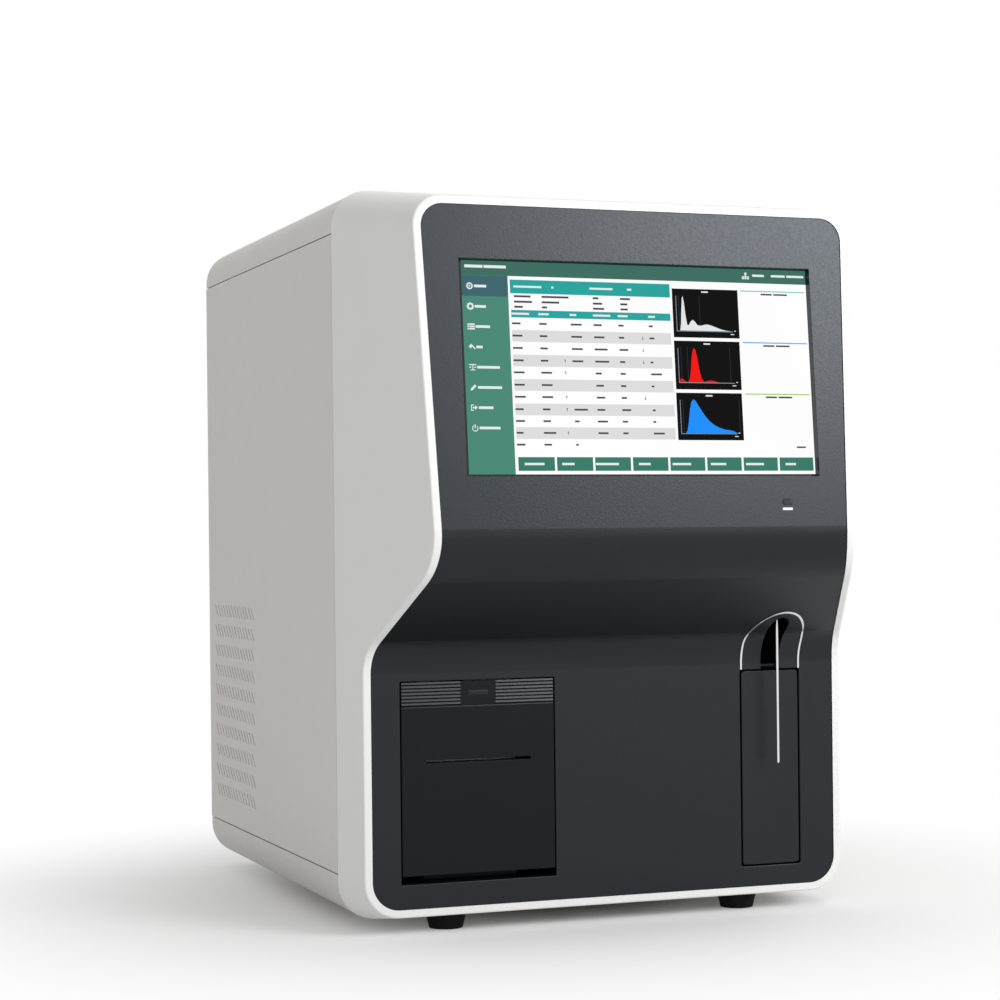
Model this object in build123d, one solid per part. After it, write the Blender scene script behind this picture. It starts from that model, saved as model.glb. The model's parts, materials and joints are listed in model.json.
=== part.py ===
from build123d import *
import math
import os

# Bench-top blood cell counter. Millimetres, +Z up, the front faces -Y.
# The origin is the bottom centre of the whole box, on the surface that the feet stand on.

# Casing
screen_side = 53.2          # screen opening to the flat side panel
case_height = 433.2         # underside of the base to the top of the cover
case_corner = 23.0          # radius of the long edges
case_depth = 348.0          # lower fascia plane to the outside of the rear panel
fitting_reach = 14.0        # how far the rear fittings stand out
foot_height = 8.2
foot_top_radius = 12.2
foot_bottom_radius = 10.2
foot_spread = 97.0          # foot centre to the middle plane
foot_front_inset = 28.0     # foot centre behind the lower fascia plane
foot_rear_inset = 30.0      # foot centre in front of the rear panel
seam_depth = 25.0           # front housing to casing seam, behind the lower fascia plane
seam_gap = 0.4
cover_lip = 25.8            # height of the top cover below its top
base_lip = 27.0             # height of the base above its underside
skin_step = 0.6             # the side panels stand this far proud of cover and base
skin = 1.5                  # sheet thickness of panels, cover and base
panel_flange = 9.0          # folded edge of a side panel
panel_edge_radius = 1.4

# Front housing and fascia
side_draft = 0.358          # taper of the housing sides, mm per mm towards the front
top_draft = 0.161
bottom_draft = 0.134
draft_length = 100.0
nose_corner = 17.0          # corner radius of the tapered section at the draft length
rim = 4.65                  # width of the pale rim around the fascia
rim_round = 1.2
ledge = 5.0                 # width of the ledge that the fascia seats on
housing_wall = 3.2
housing_flange = 8.0        # depth of the solid front edge of the housing
fascia_recess = 0.6         # fascia face behind the rim face
fascia_thick = 3.0
fascia_gap = 0.15
seat_gap = 0.1
chin_reach = 65.8           # upper vertex of the profile in front of the lower plane
chin_low_z = 158.1          # lower vertex of the profile above the underside of the base
chin_high_z = 212.0         # upper vertex of the profile above the underside of the base
chin_low_radius = 25.0
chin_high_radius = 36.0
upper_lean = 5.08           # degrees that the upper fascia leans back

# Display
screen_width = 223.6
screen_height = 125.4
screen_rise = 0.66          # centre of the opening above the middle of the upper face
screen_recess = 5.0         # glass face behind the fascia face
screen_frame = 2.0          # width of the rib around the screen opening
glass_border = 4.0
glass_thick = 1.8
module_thick = 8.0
module_border = 3.0
bracket_thick = 1.5
bracket_ear = 9.0
display_boss_radius = 4.0

# Power lamp
lamp_inset = 22.3           # lamp centre from the right edge of the screen opening
lamp_below_screen = 15.6
lamp_width = 6.2
lamp_height = 3.4
lamp_length = 8.0
lamp_flange = 1.0

# Printer
bay_side = 31.7             # bay opening from the left side of the casing
bay_width = 97.6
bay_low = 22.6              # bay floor above the underside of the base
bay_high = 141.8
bay_depth = 62.0
bay_wall = 2.0
bay_flange = 4.0
door_gap = 0.6
door_thick = 3.0
door_bottom_gap = 4.6
door_cheek = 6.5
door_cheek_thick = 1.8
grip_height = 14.2
grip_ribs = 7
grip_recess = 0.5
grip_rib_side = 1.2         # side of the square tool that cuts between the ribs
grip_plate_width = 22.1
slot_width = 65.6
slot_height = 1.4
slot_bevel = 0.5
front_bevel = 0.4           # on the front edges of door, key and their openings
slot_z = 94.4               # above the underside of the base
hinge_back = 6.0            # hinge axis behind the fascia plane
hinge_up = 10.2             # hinge axis above the bay floor
hinge_pin_radius = 1.5
running_gap = 0.05
loose_gap = 0.3
hinge_ear = 4.0
roll_radius = 22.0
roll_core = 6.5
roll_width = 57.5
roll_back = 36.0
cradle_floor = 1.2
cradle_height = 14.0
platen_radius = 5.5
platen_length = 58.0
platen_back = 13.0
platen_below_slot = 7.0
platen_shaft_radius = 2.5
lug_thick = 3.0
gear_teeth = 16
gear_module = 0.8
gear_width = 3.5
head_gap = 1.0
head_thick = 5.0
head_height = 24.0
head_width = 60.0
head_plate = 2.0
motor_radius = 10.0
motor_length = 17.0
motor_inset = 2.0
motor_stub = 1.5
head_fins = 6
head_fin_gap = 3.0
head_fin_inset = 6.0
head_fin_root = 2.0
latch_width = 16.0
latch_depth = 15.0
latch_height = 11.0
catch_width = 8.0
catch_height = 4.0
catch_reach = 11.0

# Sampling bay
key_side = 56.9             # middle of the key from the right side of the casing
key_recess_width = 40.8
key_recess_low = 20.5       # above the underside of the base
key_recess_high = 142.4
key_gap = 1.0
key_thick = 3.0
key_corner = 2.0
key_dish = 0.5
key_pivot_back = 9.0
key_pivot_below = 6.0
key_ear_thick = 3.0
key_ear_offset = 14.0
key_ear_radius = 3.5
key_pusher_width = 10.0
key_pusher_height = 6.0
key_frame_wall = 1.5
key_frame_depth = 17.0
switch_width = 7.0
switch_height = 20.0
switch_depth = 6.0
switch_body_depth = 2.5
switch_plunger = 1.2
switch_plunger_radius = 1.5
switch_rise = 40.0          # switch centre above the bottom of the recess
spring_width = 8.0
spring_thick = 0.4
spring_foot = 14.0          # foot of the leaf above the bottom of the recess
spring_rise = 14.0
spring_drop = 6.0
arch_centre_z = 158.3       # centre of the arch above the underside of the base
arch_trim = 1.2
arch_trim_proud = 0.4
probe_slot_width = 12.5
probe_slot_top = 174.8      # above the underside of the base
probe_forward = 10.0        # probe axis in front of the lower fascia plane
probe_radius = 0.8
probe_bore = 0.35
probe_tip_z = 84.8          # above the underside of the base
probe_travel = 80.0
wipe_width = 16.0
wipe_depth = 14.0
wipe_height = 13.0
probe_clearance = 1.0
needle_grip = 4.0
wipe_floor_z = 178.0        # underside of the lift bracket foot above the base underside
lift_plate = 2.0
lift_half_width = 24.0
lift_back = 34.0            # front of the lift plate behind the lower fascia plane
lift_height = 166.0
guide_radius = 2.5
guide_spread = 15.0
guide_back = 20.0
screw_radius = 3.0
carriage_rest = 34.0        # underside of the carriage above the lift bracket foot
carriage_height = 18.0
carriage_depth = 16.0
carriage_arm = 10.0
lift_motor_side = 35.0
lift_motor_height = 28.0
lift_motor_corner = 4.0
rod_edge = 4.0              # metal in front of the guide rods
arm_inset = 4.0

# Inner frame
chassis_thick = 1.5
chassis_side_gap = 25.0     # inner frame to the side of the casing
chassis_front = 32.0
chassis_rear_gap = 4.0
chassis_top_gap = 37.2      # inner frame to the top of the casing
bulkhead_back = 200.0
window_margin = 30.0

# Fluids
bath_radius = 15.0
bath_wall = 2.0
bath_height = 42.0
bath_cone = 14.0
bath_z = 170.0
bath_spread = 22.0
bath_side = 105.0           # middle of the two baths from the right side of the casing
bath_stand = 6.0            # bath wall to the bulkhead
bath_arm = 12.0
bath_arm_z = (6.0, 20.0)
syringe_side = 105.0        # syringe from the left side of the casing
syringe_z = 190.0
syringe_stand = 6.0
barrel_radius = 9.0
barrel_bore = 6.5
barrel_length = 90.0
barrel_cap = 4.0
barrel_port = 1.5
barrel_clamp_z = (10.0, 24.0)
piston_length = 8.0
piston_rest_gap = 1.0
rod_radius = 2.0
rod_length = 110.0
rod_head = 1.5
syringe_travel = 60.0
syringe_motor_side = 42.0
syringe_motor_height = 34.0
syringe_motor_front = 21.0  # motor case in front of the syringe's axis
rod_engaged = 20.0
pump_radius = 16.0
pump_length = 60.0
pump_back = 70.0
pump_rise = 4.0
pump_head_length = 24.0
manifold_side = 85.0        # middle of the manifold from the left side of the casing
manifold_length = 110.0
manifold_depth = 26.0
manifold_height = 24.0
manifold_rise = 10.0
valve_count = 6
valve_side = 15.0
valve_height = 32.0
valve_cap = 3.0
jar_side = 70.0             # jar from the right side of the casing
jar_back = 120.0
jar_radius = 30.0
jar_height = 90.0
jar_step = 8.0
jar_shoulder = 26.0
jar_neck = 4.0

# Electronics
supply_size = (100.0, 90.0, 42.0)
board_size = (140.0, 150.0)
board_thick = 1.6
board_chips = ((20.0, 20.0, 24.0), (60.0, 30.0, 30.0), (110.0, 60.0, 20.0), (40.0, 90.0, 28.0))
supply_side_gap = 12.0      # supply to the wall of the inner frame
supply_back_gap = 20.0      # supply to the bulkhead
supply_slots = 8
supply_slot_pitch = 10.0
supply_slot_width = 3.0
supply_slot_inset = 14.0
board_low = 170.0           # above the underside of the base
board_back = 40.0
chip_height = 3.0
plug_rows = 4
plug_pitch = 32.0
plug_inset = 12.0
plug_size = (9.0, 7.0, 20.0)
standoff_length = 6.0
standoff_radius = 3.0
standoff_inset = 6.0

# Rear
fan_side = 80.0
fan_thick = 25.0
fan_bore = 38.0
fan_hub = 17.0
fan_blades = 7
fan_tip_gap = 1.5
fan_from_side = 80.0
fan_web = 3.0
fan_arm = 4.0
fan_corner = 5.0
fan_recess = 2.0
blade_thick = 1.2
blade_chord = 22.0
blade_angle = 38.0
fan_z = 320.0
guard_wire = 1.1
guard_rings = 3
guard_hub = 8.0
guard_first = 17.0
guard_eye = 4.0
guard_screw_inset = 4.3     # fan screw from the edge of the fan frame
inlet_width = 27.0
inlet_height = 20.0
inlet_depth = 20.0
inlet_rim = 3.0
inlet_face = 2.5
inlet_socket = (24.4, 16.4)
inlet_pin = (2.0, 4.0)
inlet_pins = ((-7.0, -2.0), (7.0, -2.0), (0.0, 4.0))
inlet_from_side = 55.0
inlet_z = 70.0
rocker_width = 13.0
rocker_height = 19.0
rocker_tilt = 9.0
rocker_spacing = 32.0
rocker_gap = 0.3
rocker_end_gap = 0.6
rocker_front = 5.0
rocker_rear = 3.0
rocker_set_back = 4.0       # rocker axis inside the face of the rear panel
rocker_stud = 1.4
rocker_stud_radius = 1.2
switch_rim = 1.5
switch_pit = 14.0
nipple_radius = 3.2
nipple_bore = 1.8
nipple_count = 4
nipple_pitch = 18.0
nipple_from_side = 51.0     # outermost nipple
nipple_inside = 12.0
nut_radius = 6.5
nut_thick = 2.5
nipple_z = 90.0
port_board_gap = 6.5        # power supply to the interface board
port_board_z = 70.0
port_board_width = 70.0
port_board_depth = 60.0
port_height = 14.0
port_depth = 18.0
port_socket = 12.0
port_wall = 1.0
port_shells = ((4.0, 13.2, 13.6), (22.0, 16.0, 13.0), (42.0, 24.0, 11.0))
port_post_inset = 6.0
screw_inset = 12.0
screw_end_inset = 32.0
screw_rows = 3
screw_head_radius = 2.9
screw_shank_radius = 1.5
screw_head_height = 1.8
rear_slot_count = 8
rear_slot_pitch = 10.0
rear_slot_length = 60.0
rear_slot_width = 3.0

# Side vents
vent_rows = 10
vent_slits = 14
vent_row_pitch = 15.6
vent_slit_pitch = 7.6
vent_slit_height = 9.5
vent_slit_width = 1.5
vent_slant = 17.0
vent_low_z = 31.0           # centre of the lowest row above the underside of the base
vent_rear_inset = 15.0      # last slit in front of the rear edge of the panel

# Worked-out places
case_width = screen_width + 2 * screen_side
half_width = case_width / 2
key_centre = half_width - key_side
bay_left = bay_side - half_width
bay_right = bay_left + bay_width
lamp_x = screen_width / 2 - lamp_inset
bath_centre_x = half_width - bath_side
syringe_x = syringe_side - half_width
manifold_x = manifold_side - half_width
jar_x = half_width - jar_side
fan_x = half_width - fan_from_side
inlet_x = inlet_from_side - half_width
rocker_x = inlet_x + rocker_spacing
nipple_x = half_width - nipple_from_side - (nipple_count - 1) * nipple_pitch
chassis_half_width = half_width - chassis_side_gap
base_z = foot_height
top_z = base_z + case_height
lean = math.radians(upper_lean)


def unit(dy, dz):
    size = math.hypot(dy, dz)
    return (dy / size, dz / size)


low_vertex = (0.0, base_z + chin_low_z)
high_vertex = (-chin_reach, base_z + chin_high_z)
upright = (0.0, 1.0)
under_slope = unit(high_vertex[0] - low_vertex[0], high_vertex[1] - low_vertex[1])
upper_slope = (math.sin(lean), math.cos(lean))


def cross_point(point_a, dir_a, point_b, dir_b):
    det = dir_a[0] * dir_b[1] - dir_a[1] * dir_b[0]
    dy = point_b[0] - point_a[0]
    dz = point_b[1] - point_a[1]
    step = (dy * dir_b[1] - dz * dir_b[0]) / det
    return (point_a[0] + step * dir_a[0], point_a[1] + step * dir_a[1])


def set_back(point, direction, depth):
    """A point moved behind a line of the front profile by depth."""
    return (point[0] + depth * direction[1], point[1] - depth * direction[0])


def profile_vertices(depth):
    """The two vertices of the front profile, set back into the machine by depth."""
    low = set_back(low_vertex, upright, depth)
    middle = set_back(low_vertex, under_slope, depth)
    high = set_back(high_vertex, upper_slope, depth)
    return (
        cross_point(low, upright, middle, under_slope),
        cross_point(middle, under_slope, high, upper_slope),
    )


def front_of_chin():
    """The most forward point of the rounded chin, from the lower fascia plane."""
    bend = math.acos(sum(a * b for a, b in zip(under_slope, upper_slope)))
    along = unit(upper_slope[0] - under_slope[0], upper_slope[1] - under_slope[1])
    centre = high_vertex[0] + along[0] * chin_high_radius / math.cos(bend / 2)
    return centre - chin_high_radius


reach = -front_of_chin()
total_depth = reach + case_depth + fitting_reach
plane_y = -total_depth / 2 + reach      # lower fascia plane
rear_y = plane_y + case_depth           # outside of the rear panel
seam_y = plane_y + seam_depth


def back(depth):
    """A place behind the lower fascia plane."""
    return plane_y + depth


def block(x, y, z):
    """A box from its limits along each axis."""
    size = (x[1] - x[0], y[1] - y[0], z[1] - z[0])
    return Pos((x[0] + x[1]) / 2, (y[0] + y[1]) / 2, (z[0] + z[1]) / 2) * Box(*size)


def bar_x(x, y, z, radius):
    return Pos((x[0] + x[1]) / 2, y, z) * Rot(0, 90, 0) * Cylinder(radius, x[1] - x[0])


def bar_y(x, y, z, radius):
    return Pos(x, (y[0] + y[1]) / 2, z) * Rot(90, 0, 0) * Cylinder(radius, y[1] - y[0])


def bar_z(x, y, z, radius):
    return Pos(x, y, (z[0] + z[1]) / 2) * Cylinder(radius, z[1] - z[0])


def front_plane(y, x=0.0, z=0.0):
    """A plane facing the front, with its second axis up."""
    return Plane(origin=(x, y, z), x_dir=(1, 0, 0), z_dir=(0, -1, 0))


def rounded_bar_y(x, y, z, radius):
    """A bar along Y with a rounded rectangular section."""
    plane = front_plane(y[1], (x[0] + x[1]) / 2, (z[0] + z[1]) / 2)
    section = plane * RectangleRounded(x[1] - x[0], z[1] - z[0], radius)
    return extrude(section, amount=y[1] - y[0])


def plug(inset):
    """The tapered body of the front housing, shrunk by inset all round."""
    rear_section = rounded_section(seam_y, 0.0, case_corner, inset)
    nose_section = rounded_section(seam_y - draft_length, draft_length, nose_corner, inset)
    return loft([rear_section, nose_section], ruled=True)


def rounded_section(y, run, corner, inset):
    half = half_width - side_draft * run - inset
    low = base_z + bottom_draft * run + inset
    high = top_z - top_draft * run - inset
    shape = RectangleRounded(2 * half, high - low, corner - inset)
    return front_plane(y, 0.0, (low + high) / 2) * shape


def behind(depth):
    """Everything behind the front profile, set back by depth."""
    low, high = profile_vertices(depth)
    over = top_z + case_corner
    ceiling = cross_point(high, upper_slope, (0.0, over), (1.0, 0.0))
    points = [
        (low[0], 0.0),
        low,
        high,
        ceiling,
        (seam_depth, over),
        (seam_depth, 0.0),
    ]
    sketch = Plane.YZ * Polygon(*[(back(y), z) for y, z in points], align=None)
    for vertex, radius in ((low, chin_low_radius + depth), (high, chin_high_radius - depth)):
        target = Vector(0, back(vertex[0]), vertex[1])
        corner = sorted(sketch.vertices(), key=lambda v: (Vector(*v) - target).length)[0]
        sketch = fillet(corner, radius)
    return extrude(sketch, amount=case_width, both=True)


def fascia_slab(inset, near, far):
    """The layer of the front between two depths, inside the rim."""
    return (plug(inset) & behind(near)) - behind(far)


fascia_back = fascia_recess + fascia_thick
upper_length = (top_z - high_vertex[1]) / math.cos(lean)
screen_mid = upper_length / 2 + screen_rise
screen_origin = (
    0.0,
    back(high_vertex[0] + upper_slope[0] * screen_mid),
    high_vertex[1] + upper_slope[1] * screen_mid,
)
screen_plane = Plane(
    origin=screen_origin,
    x_dir=(1, 0, 0),
    z_dir=(0, -math.cos(lean), math.sin(lean)),
)


def on_screen(width, height, near, far, x=0.0, up=0.0):
    """A box on the slope of the display, between two depths behind the rim face."""
    return screen_plane * Pos(x, up, -(near + far) / 2) * Box(width, height, far - near)


def on_screen_bar(radius, near, far, x, up):
    return screen_plane * Pos(x, up, -(near + far) / 2) * Cylinder(radius, far - near)


# Casing pieces
def rim_edges(shell):
    """The edges around the front of the housing, where its sides meet the profile."""
    seam = seam_y - 1.0
    front_faces = [face for face in shell.faces() if is_profile_face(face)]
    around = []
    for edge in shell.edges():
        if (edge @ 0).Y > seam or (edge @ 1).Y > seam:
            continue
        owners = sum(1 for face in front_faces if edge in face.edges())
        if owners == 1:
            around.append(edge)
    return around


def is_profile_face(face):
    """True of the faces that run straight across the machine's front."""
    normal = face.normal_at()
    return abs(normal.X) < 1e-3 and normal.Y < -0.3


def make_front_housing():
    shell = plug(0.0) & behind(0.0)
    shell = fillet(rim_edges(shell), rim_round)
    shell = shell - (plug(housing_wall) & behind(housing_flange))
    shell = shell - (plug(rim) - behind(fascia_back + seat_gap))
    return shell - plug(rim + ledge)


def case_band(y, z, wall):
    """A length of the casing's rounded rectangular tube, cut to a band of heights."""
    outer_half = half_width - skin_step
    outer = rounded_bar_y((-outer_half, outer_half), y, (base_z, top_z), case_corner)
    inner = rounded_bar_y(
        (-outer_half + wall, outer_half - wall),
        y,
        (base_z + wall, top_z - wall),
        case_corner - wall,
    )
    keep = block((-half_width, half_width), y, z)
    return (outer - inner) & keep


body_y = (seam_y + seam_gap, rear_y)
rear_plate_y = (rear_y - skin, rear_y)
panel_low = base_z + base_lip
panel_high = top_z - cover_lip


def make_top_cover():
    return case_band(body_y, (panel_high, top_z), skin)


def make_base():
    return case_band(body_y, (base_z, panel_low), skin)


def make_side_panel(side):
    x = (half_width - panel_flange, half_width)
    z = (panel_low + seam_gap, panel_high - seam_gap)
    outer = block(x, body_y, z)
    edges = outer.faces().sort_by(Axis.X)[-1].edges()
    outer = fillet(edges, panel_edge_radius)
    inner = block(
        (x[0], half_width - skin),
        (body_y[0] + skin, body_y[1] + skin),
        (z[0] + skin, z[1] - skin),
    )
    rear_notch = block(
        (x[0], half_width - skin),
        (rear_plate_y[0] - seam_gap, rear_y + skin),
        z,
    )
    panel = outer - inner - rear_notch
    if side < 0:
        panel = mirror(panel - vent_slits_cut(), about=Plane.YZ)
    return panel


def vent_slits_cut():
    """Rows of slanted slits near the rear lower corner of the left side panel."""
    rear_slit = rear_y - vent_rear_inset
    slit = Rot(-vent_slant, 0, 0) * Box(4 * skin, vent_slit_width, vent_slit_height)
    places = []
    for row in range(vent_rows):
        for column in range(vent_slits):
            y = rear_slit - column * vent_slit_pitch
            z = base_z + vent_low_z + row * vent_row_pitch
            places.append(Pos(half_width, y, z) * slit)
    return places


def make_feet():
    feet = []
    for x in (-foot_spread, foot_spread):
        for y in (back(foot_front_inset), rear_y - foot_rear_inset):
            cone = Cone(foot_bottom_radius, foot_top_radius, foot_height)
            feet.append(Pos(x, y, foot_height / 2) * cone)
    return Compound(children=feet)


rear_inset = skin_step + skin + seam_gap


def make_rear_panel():
    half = half_width - rear_inset
    plate = rounded_bar_y(
        (-half, half),
        rear_plate_y,
        (base_z + skin + seam_gap, top_z - skin - seam_gap),
        case_corner - rear_inset,
    )
    through = (rear_y - fan_thick, rear_y + 1)
    plate -= bar_y(fan_x, through, fan_z, fan_bore)
    plate -= block(*inlet_hole(through))
    plate -= block(*rocker_hole(through))
    plate -= block(*port_hole(through))
    plate -= [bar_y(x, through, nipple_z, nipple_radius + loose_gap) for x in nipple_places()]
    for step in range(rear_slot_count):
        z = fan_z - rear_slot_pitch * (rear_slot_count - 1) / 2 + step * rear_slot_pitch
        x = (-fan_x - rear_slot_length / 2, -fan_x + rear_slot_length / 2)
        plate -= block(x, through, (z, z + rear_slot_width))
    plate -= [bar_y(x, through, z, screw_shank_radius + running_gap) for x, z in screw_places()]
    return plate


def centred(middle, size, gap=0.0):
    return (middle - size / 2 - gap, middle + size / 2 + gap)


def inlet_hole(y):
    return (
        centred(inlet_x, inlet_width, loose_gap),
        y,
        centred(inlet_z, inlet_height, loose_gap),
    )


def rocker_hole(y):
    return (
        centred(rocker_x, rocker_width + 2 * skin, loose_gap),
        y,
        centred(inlet_z, rocker_height + 2 * skin, loose_gap),
    )


def port_hole(y):
    return (
        centred(port_board_x + port_board_width / 2, port_board_width, loose_gap),
        y,
        centred(port_board_z + port_height / 2, port_height, loose_gap),
    )


def nipple_places():
    return [nipple_x + step * nipple_pitch for step in range(nipple_count)]


def screw_places():
    """Screws around the rear panel: along both sides, and two near the top."""
    x = half_width - screw_inset
    low = base_z + screw_end_inset
    pitch = (top_z - screw_end_inset - low) / (screw_rows - 1)
    places = []
    for side in (-x, x):
        for row in range(screw_rows):
            places.append((side, low + row * pitch))
    for side in (-x / 2, x / 2):
        places.append((side, top_z - screw_inset))
    return places


def make_case_screws():
    screws = []
    for x, z in screw_places():
        head = bar_y(x, (rear_y, rear_y + screw_head_height), z, screw_head_radius)
        shank = bar_y(x, (rear_y - 4 * skin, rear_y), z, screw_shank_radius)
        screws.append(head + shank)
    return Compound(children=screws)


# Inner frame
deck_z = base_z + skin
chassis_y = (back(chassis_front), rear_y - chassis_rear_gap)


def make_chassis():
    x = (-chassis_half_width, chassis_half_width)
    z = (deck_z, top_z - chassis_top_gap)
    frame = block(x, chassis_y, (z[0], z[0] + chassis_thick))
    for side in (-1, 1):
        outer = side * chassis_half_width
        inner = side * (chassis_half_width - chassis_thick)
        wall = block(tuple(sorted((outer, inner))), chassis_y, z)
        frame += wall
    sheet = (back(bulkhead_back), back(bulkhead_back) + chassis_thick)
    frame += block(x, sheet, z)
    window_z = (z[0] + window_margin, z[1] - 4 * window_margin)
    window_y = (sheet[1] + window_margin, chassis_y[1] - window_margin)
    frame -= block((-half_width, half_width), window_y, window_z)
    return frame


floor_z = deck_z + chassis_thick
bulkhead_face = back(bulkhead_back)
side_face = chassis_half_width - chassis_thick
supply_x = (supply_side_gap - side_face, supply_side_gap - side_face + supply_size[0])
port_board_x = supply_x[1] + port_board_gap


# Front
def arch(inset, low):
    """Front view of the probe arch: straight sides under a half circle."""
    half = key_recess_width / 2 - inset
    centre = base_z + arch_centre_z
    legs = Pos(key_centre, (low + centre) / 2) * Rectangle(2 * half, centre - low)
    cap = Pos(key_centre, centre) * Circle(half)
    above = Pos(key_centre, centre + half / 2) * Rectangle(2 * half, half)
    return legs + (cap & above)


def probe_slot(low):
    half = probe_slot_width / 2
    centre = base_z + probe_slot_top - half
    legs = Pos(key_centre, (low + centre) / 2) * Rectangle(2 * half, centre - low)
    return legs + Pos(key_centre, centre) * Circle(half)


def through_front(sketch):
    """A front view cut or kept through the whole depth of the fascia."""
    start = front_plane(back(seam_depth))
    return extrude(start * sketch, amount=seam_depth + chin_reach)


recess_top = base_z + key_recess_high
recess_low = base_z + key_recess_low
bay_floor = base_z + bay_low
bay_ceiling = base_z + bay_high


def make_front_fascia():
    face = fascia_slab(rim + fascia_gap, fascia_recess, fascia_back)
    rib_width = screen_width + 2 * screen_frame
    rib_height = screen_height + 2 * screen_frame
    face += on_screen(rib_width, rib_height, fascia_back, fascia_recess + screen_recess)
    for x in (-display_boss_x, display_boss_x):
        for up in (-display_boss_up, display_boss_up):
            face += on_screen_bar(display_boss_radius, fascia_back, bracket_face, x, up)
    face -= on_screen(screen_width, screen_height, -1, bracket_face)
    lamp_gap = loose_gap / 2
    face -= lamp_bar(lamp_width / 2 + lamp_gap, lamp_height / 2 + lamp_gap, -1, bracket_face)
    bay_at = (bay_middle, (bay_floor + bay_ceiling) / 2)
    bay_size = (bay_right - bay_left, bay_ceiling - bay_floor)
    face -= through_front(Pos(*bay_at) * RectangleRounded(*bay_size, door_gap))
    face -= front_edge_bevel(bay_at, bay_size, door_gap)
    key_at = (key_centre, (recess_low + recess_top) / 2)
    key_size = (key_recess_width, recess_top - recess_low)
    key_opening = Pos(*key_at) * RectangleRounded(*key_size, key_corner)
    face -= front_edge_bevel(key_at, key_size, key_corner)
    return face - through_front(key_opening + arch(0.0, key_at[1]))


def front_edge_bevel(at, size, corner):
    """The bevel around an opening in the upright part of the fascia."""
    surface = front_plane(back(fascia_recess), *at)
    root = front_plane(back(fascia_recess + front_bevel), *at)
    wide = RectangleRounded(size[0] + 2 * front_bevel, size[1] + 2 * front_bevel, corner + front_bevel)
    return loft([surface * wide, root * RectangleRounded(*size, corner)], ruled=True)


module_back = fascia_recess + screen_recess + glass_thick + module_thick
bracket_face = module_back
glass_width = screen_width + 2 * glass_border
glass_height = screen_height + 2 * glass_border
display_boss_x = glass_width / 2 - bracket_ear
display_boss_up = glass_height / 2 + bracket_ear


def lamp_bar(half_long, half_short, near, far):
    up = -screen_height / 2 - lamp_below_screen
    place = screen_plane * Pos(lamp_x, up, -far)
    return extrude(place * SlotOverall(2 * half_long, 2 * half_short), amount=far - near)


def make_touch_glass():
    near = fascia_recess + screen_recess
    return on_screen(glass_width, glass_height, near, near + glass_thick)


def make_display_panel():
    near = fascia_recess + screen_recess + glass_thick
    width = screen_width + 2 * module_border
    height = screen_height + 2 * module_border
    return on_screen(width, height, near, near + module_thick)


def make_display_bracket():
    far = bracket_face + bracket_thick
    plate = on_screen(glass_width, glass_height + 4 * bracket_ear, bracket_face, far)
    opening = on_screen(screen_width * 0.5, screen_height * 0.6, bracket_face - 1, far + 1)
    plate -= opening
    for up in (-1, 1):
        edge = up * (glass_height / 2 + 2 * bracket_ear - bracket_thick / 2)
        plate += on_screen(glass_width, bracket_thick, far, far + bracket_ear, 0.0, edge)
    return plate


def make_power_lamp_lens():
    lens = lamp_bar(lamp_width / 2, lamp_height / 2, fascia_recess - 0.3, lamp_length)
    flange = lamp_bar(
        lamp_width / 2 + lamp_flange,
        lamp_height / 2 + lamp_flange,
        fascia_back + seat_gap,
        fascia_back + seat_gap + lamp_flange,
    )
    return lens + flange


# Printer
bay_middle = (bay_left + bay_right) / 2
bay_back = back(bay_depth)
bay_front = back(fascia_back + seat_gap)
hinge_y = back(hinge_back)
hinge_z = bay_floor + hinge_up
slot_height_z = base_z + slot_z
platen_y = back(platen_back)
platen_z = slot_height_z - platen_below_slot
roll_y = back(roll_back)
roll_z = bay_floor + cradle_floor + roll_radius + loose_gap
door_front = back(fascia_recess)
door_rear = door_front + door_thick
head_face = platen_y + platen_radius + head_gap


def make_printer_frame():
    outer = block(
        (bay_left - bay_wall, bay_right + bay_wall),
        (bay_front, bay_back),
        (bay_floor - bay_wall, bay_ceiling + bay_wall),
    )
    outer += block(
        (bay_left - bay_flange, bay_right + bay_flange),
        (bay_front, bay_front + bay_wall),
        (bay_floor - bay_flange, bay_ceiling + bay_flange),
    )
    inside = block(
        (bay_left, bay_right), (bay_front, bay_back - bay_wall), (bay_floor, bay_ceiling)
    )
    frame = outer - inside
    cradle_y = (roll_y - roll_radius * 0.8, bay_back - bay_wall)
    cradle = block(
        centred(bay_middle, roll_width + 2),
        cradle_y,
        (bay_floor, bay_floor + cradle_height),
    )
    cradle -= bar_x(centred(bay_middle, case_width), roll_y, roll_z, roll_radius + loose_gap)
    frame += cradle
    for x in (bay_left, bay_right - hinge_ear / 2):
        frame += bar_x((x, x + hinge_ear / 2), hinge_y, hinge_z, hinge_pin_radius + bay_wall)
    return frame - make_door_hinge_pin()


def make_door_hinge_pin():
    ends = (bay_left - bay_wall, bay_right + bay_wall)
    return bar_x(ends, hinge_y, hinge_z, hinge_pin_radius)


door_x = (bay_left + door_gap, bay_right - door_gap)
door_z = (bay_floor + door_bottom_gap, bay_ceiling - door_gap)


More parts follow.
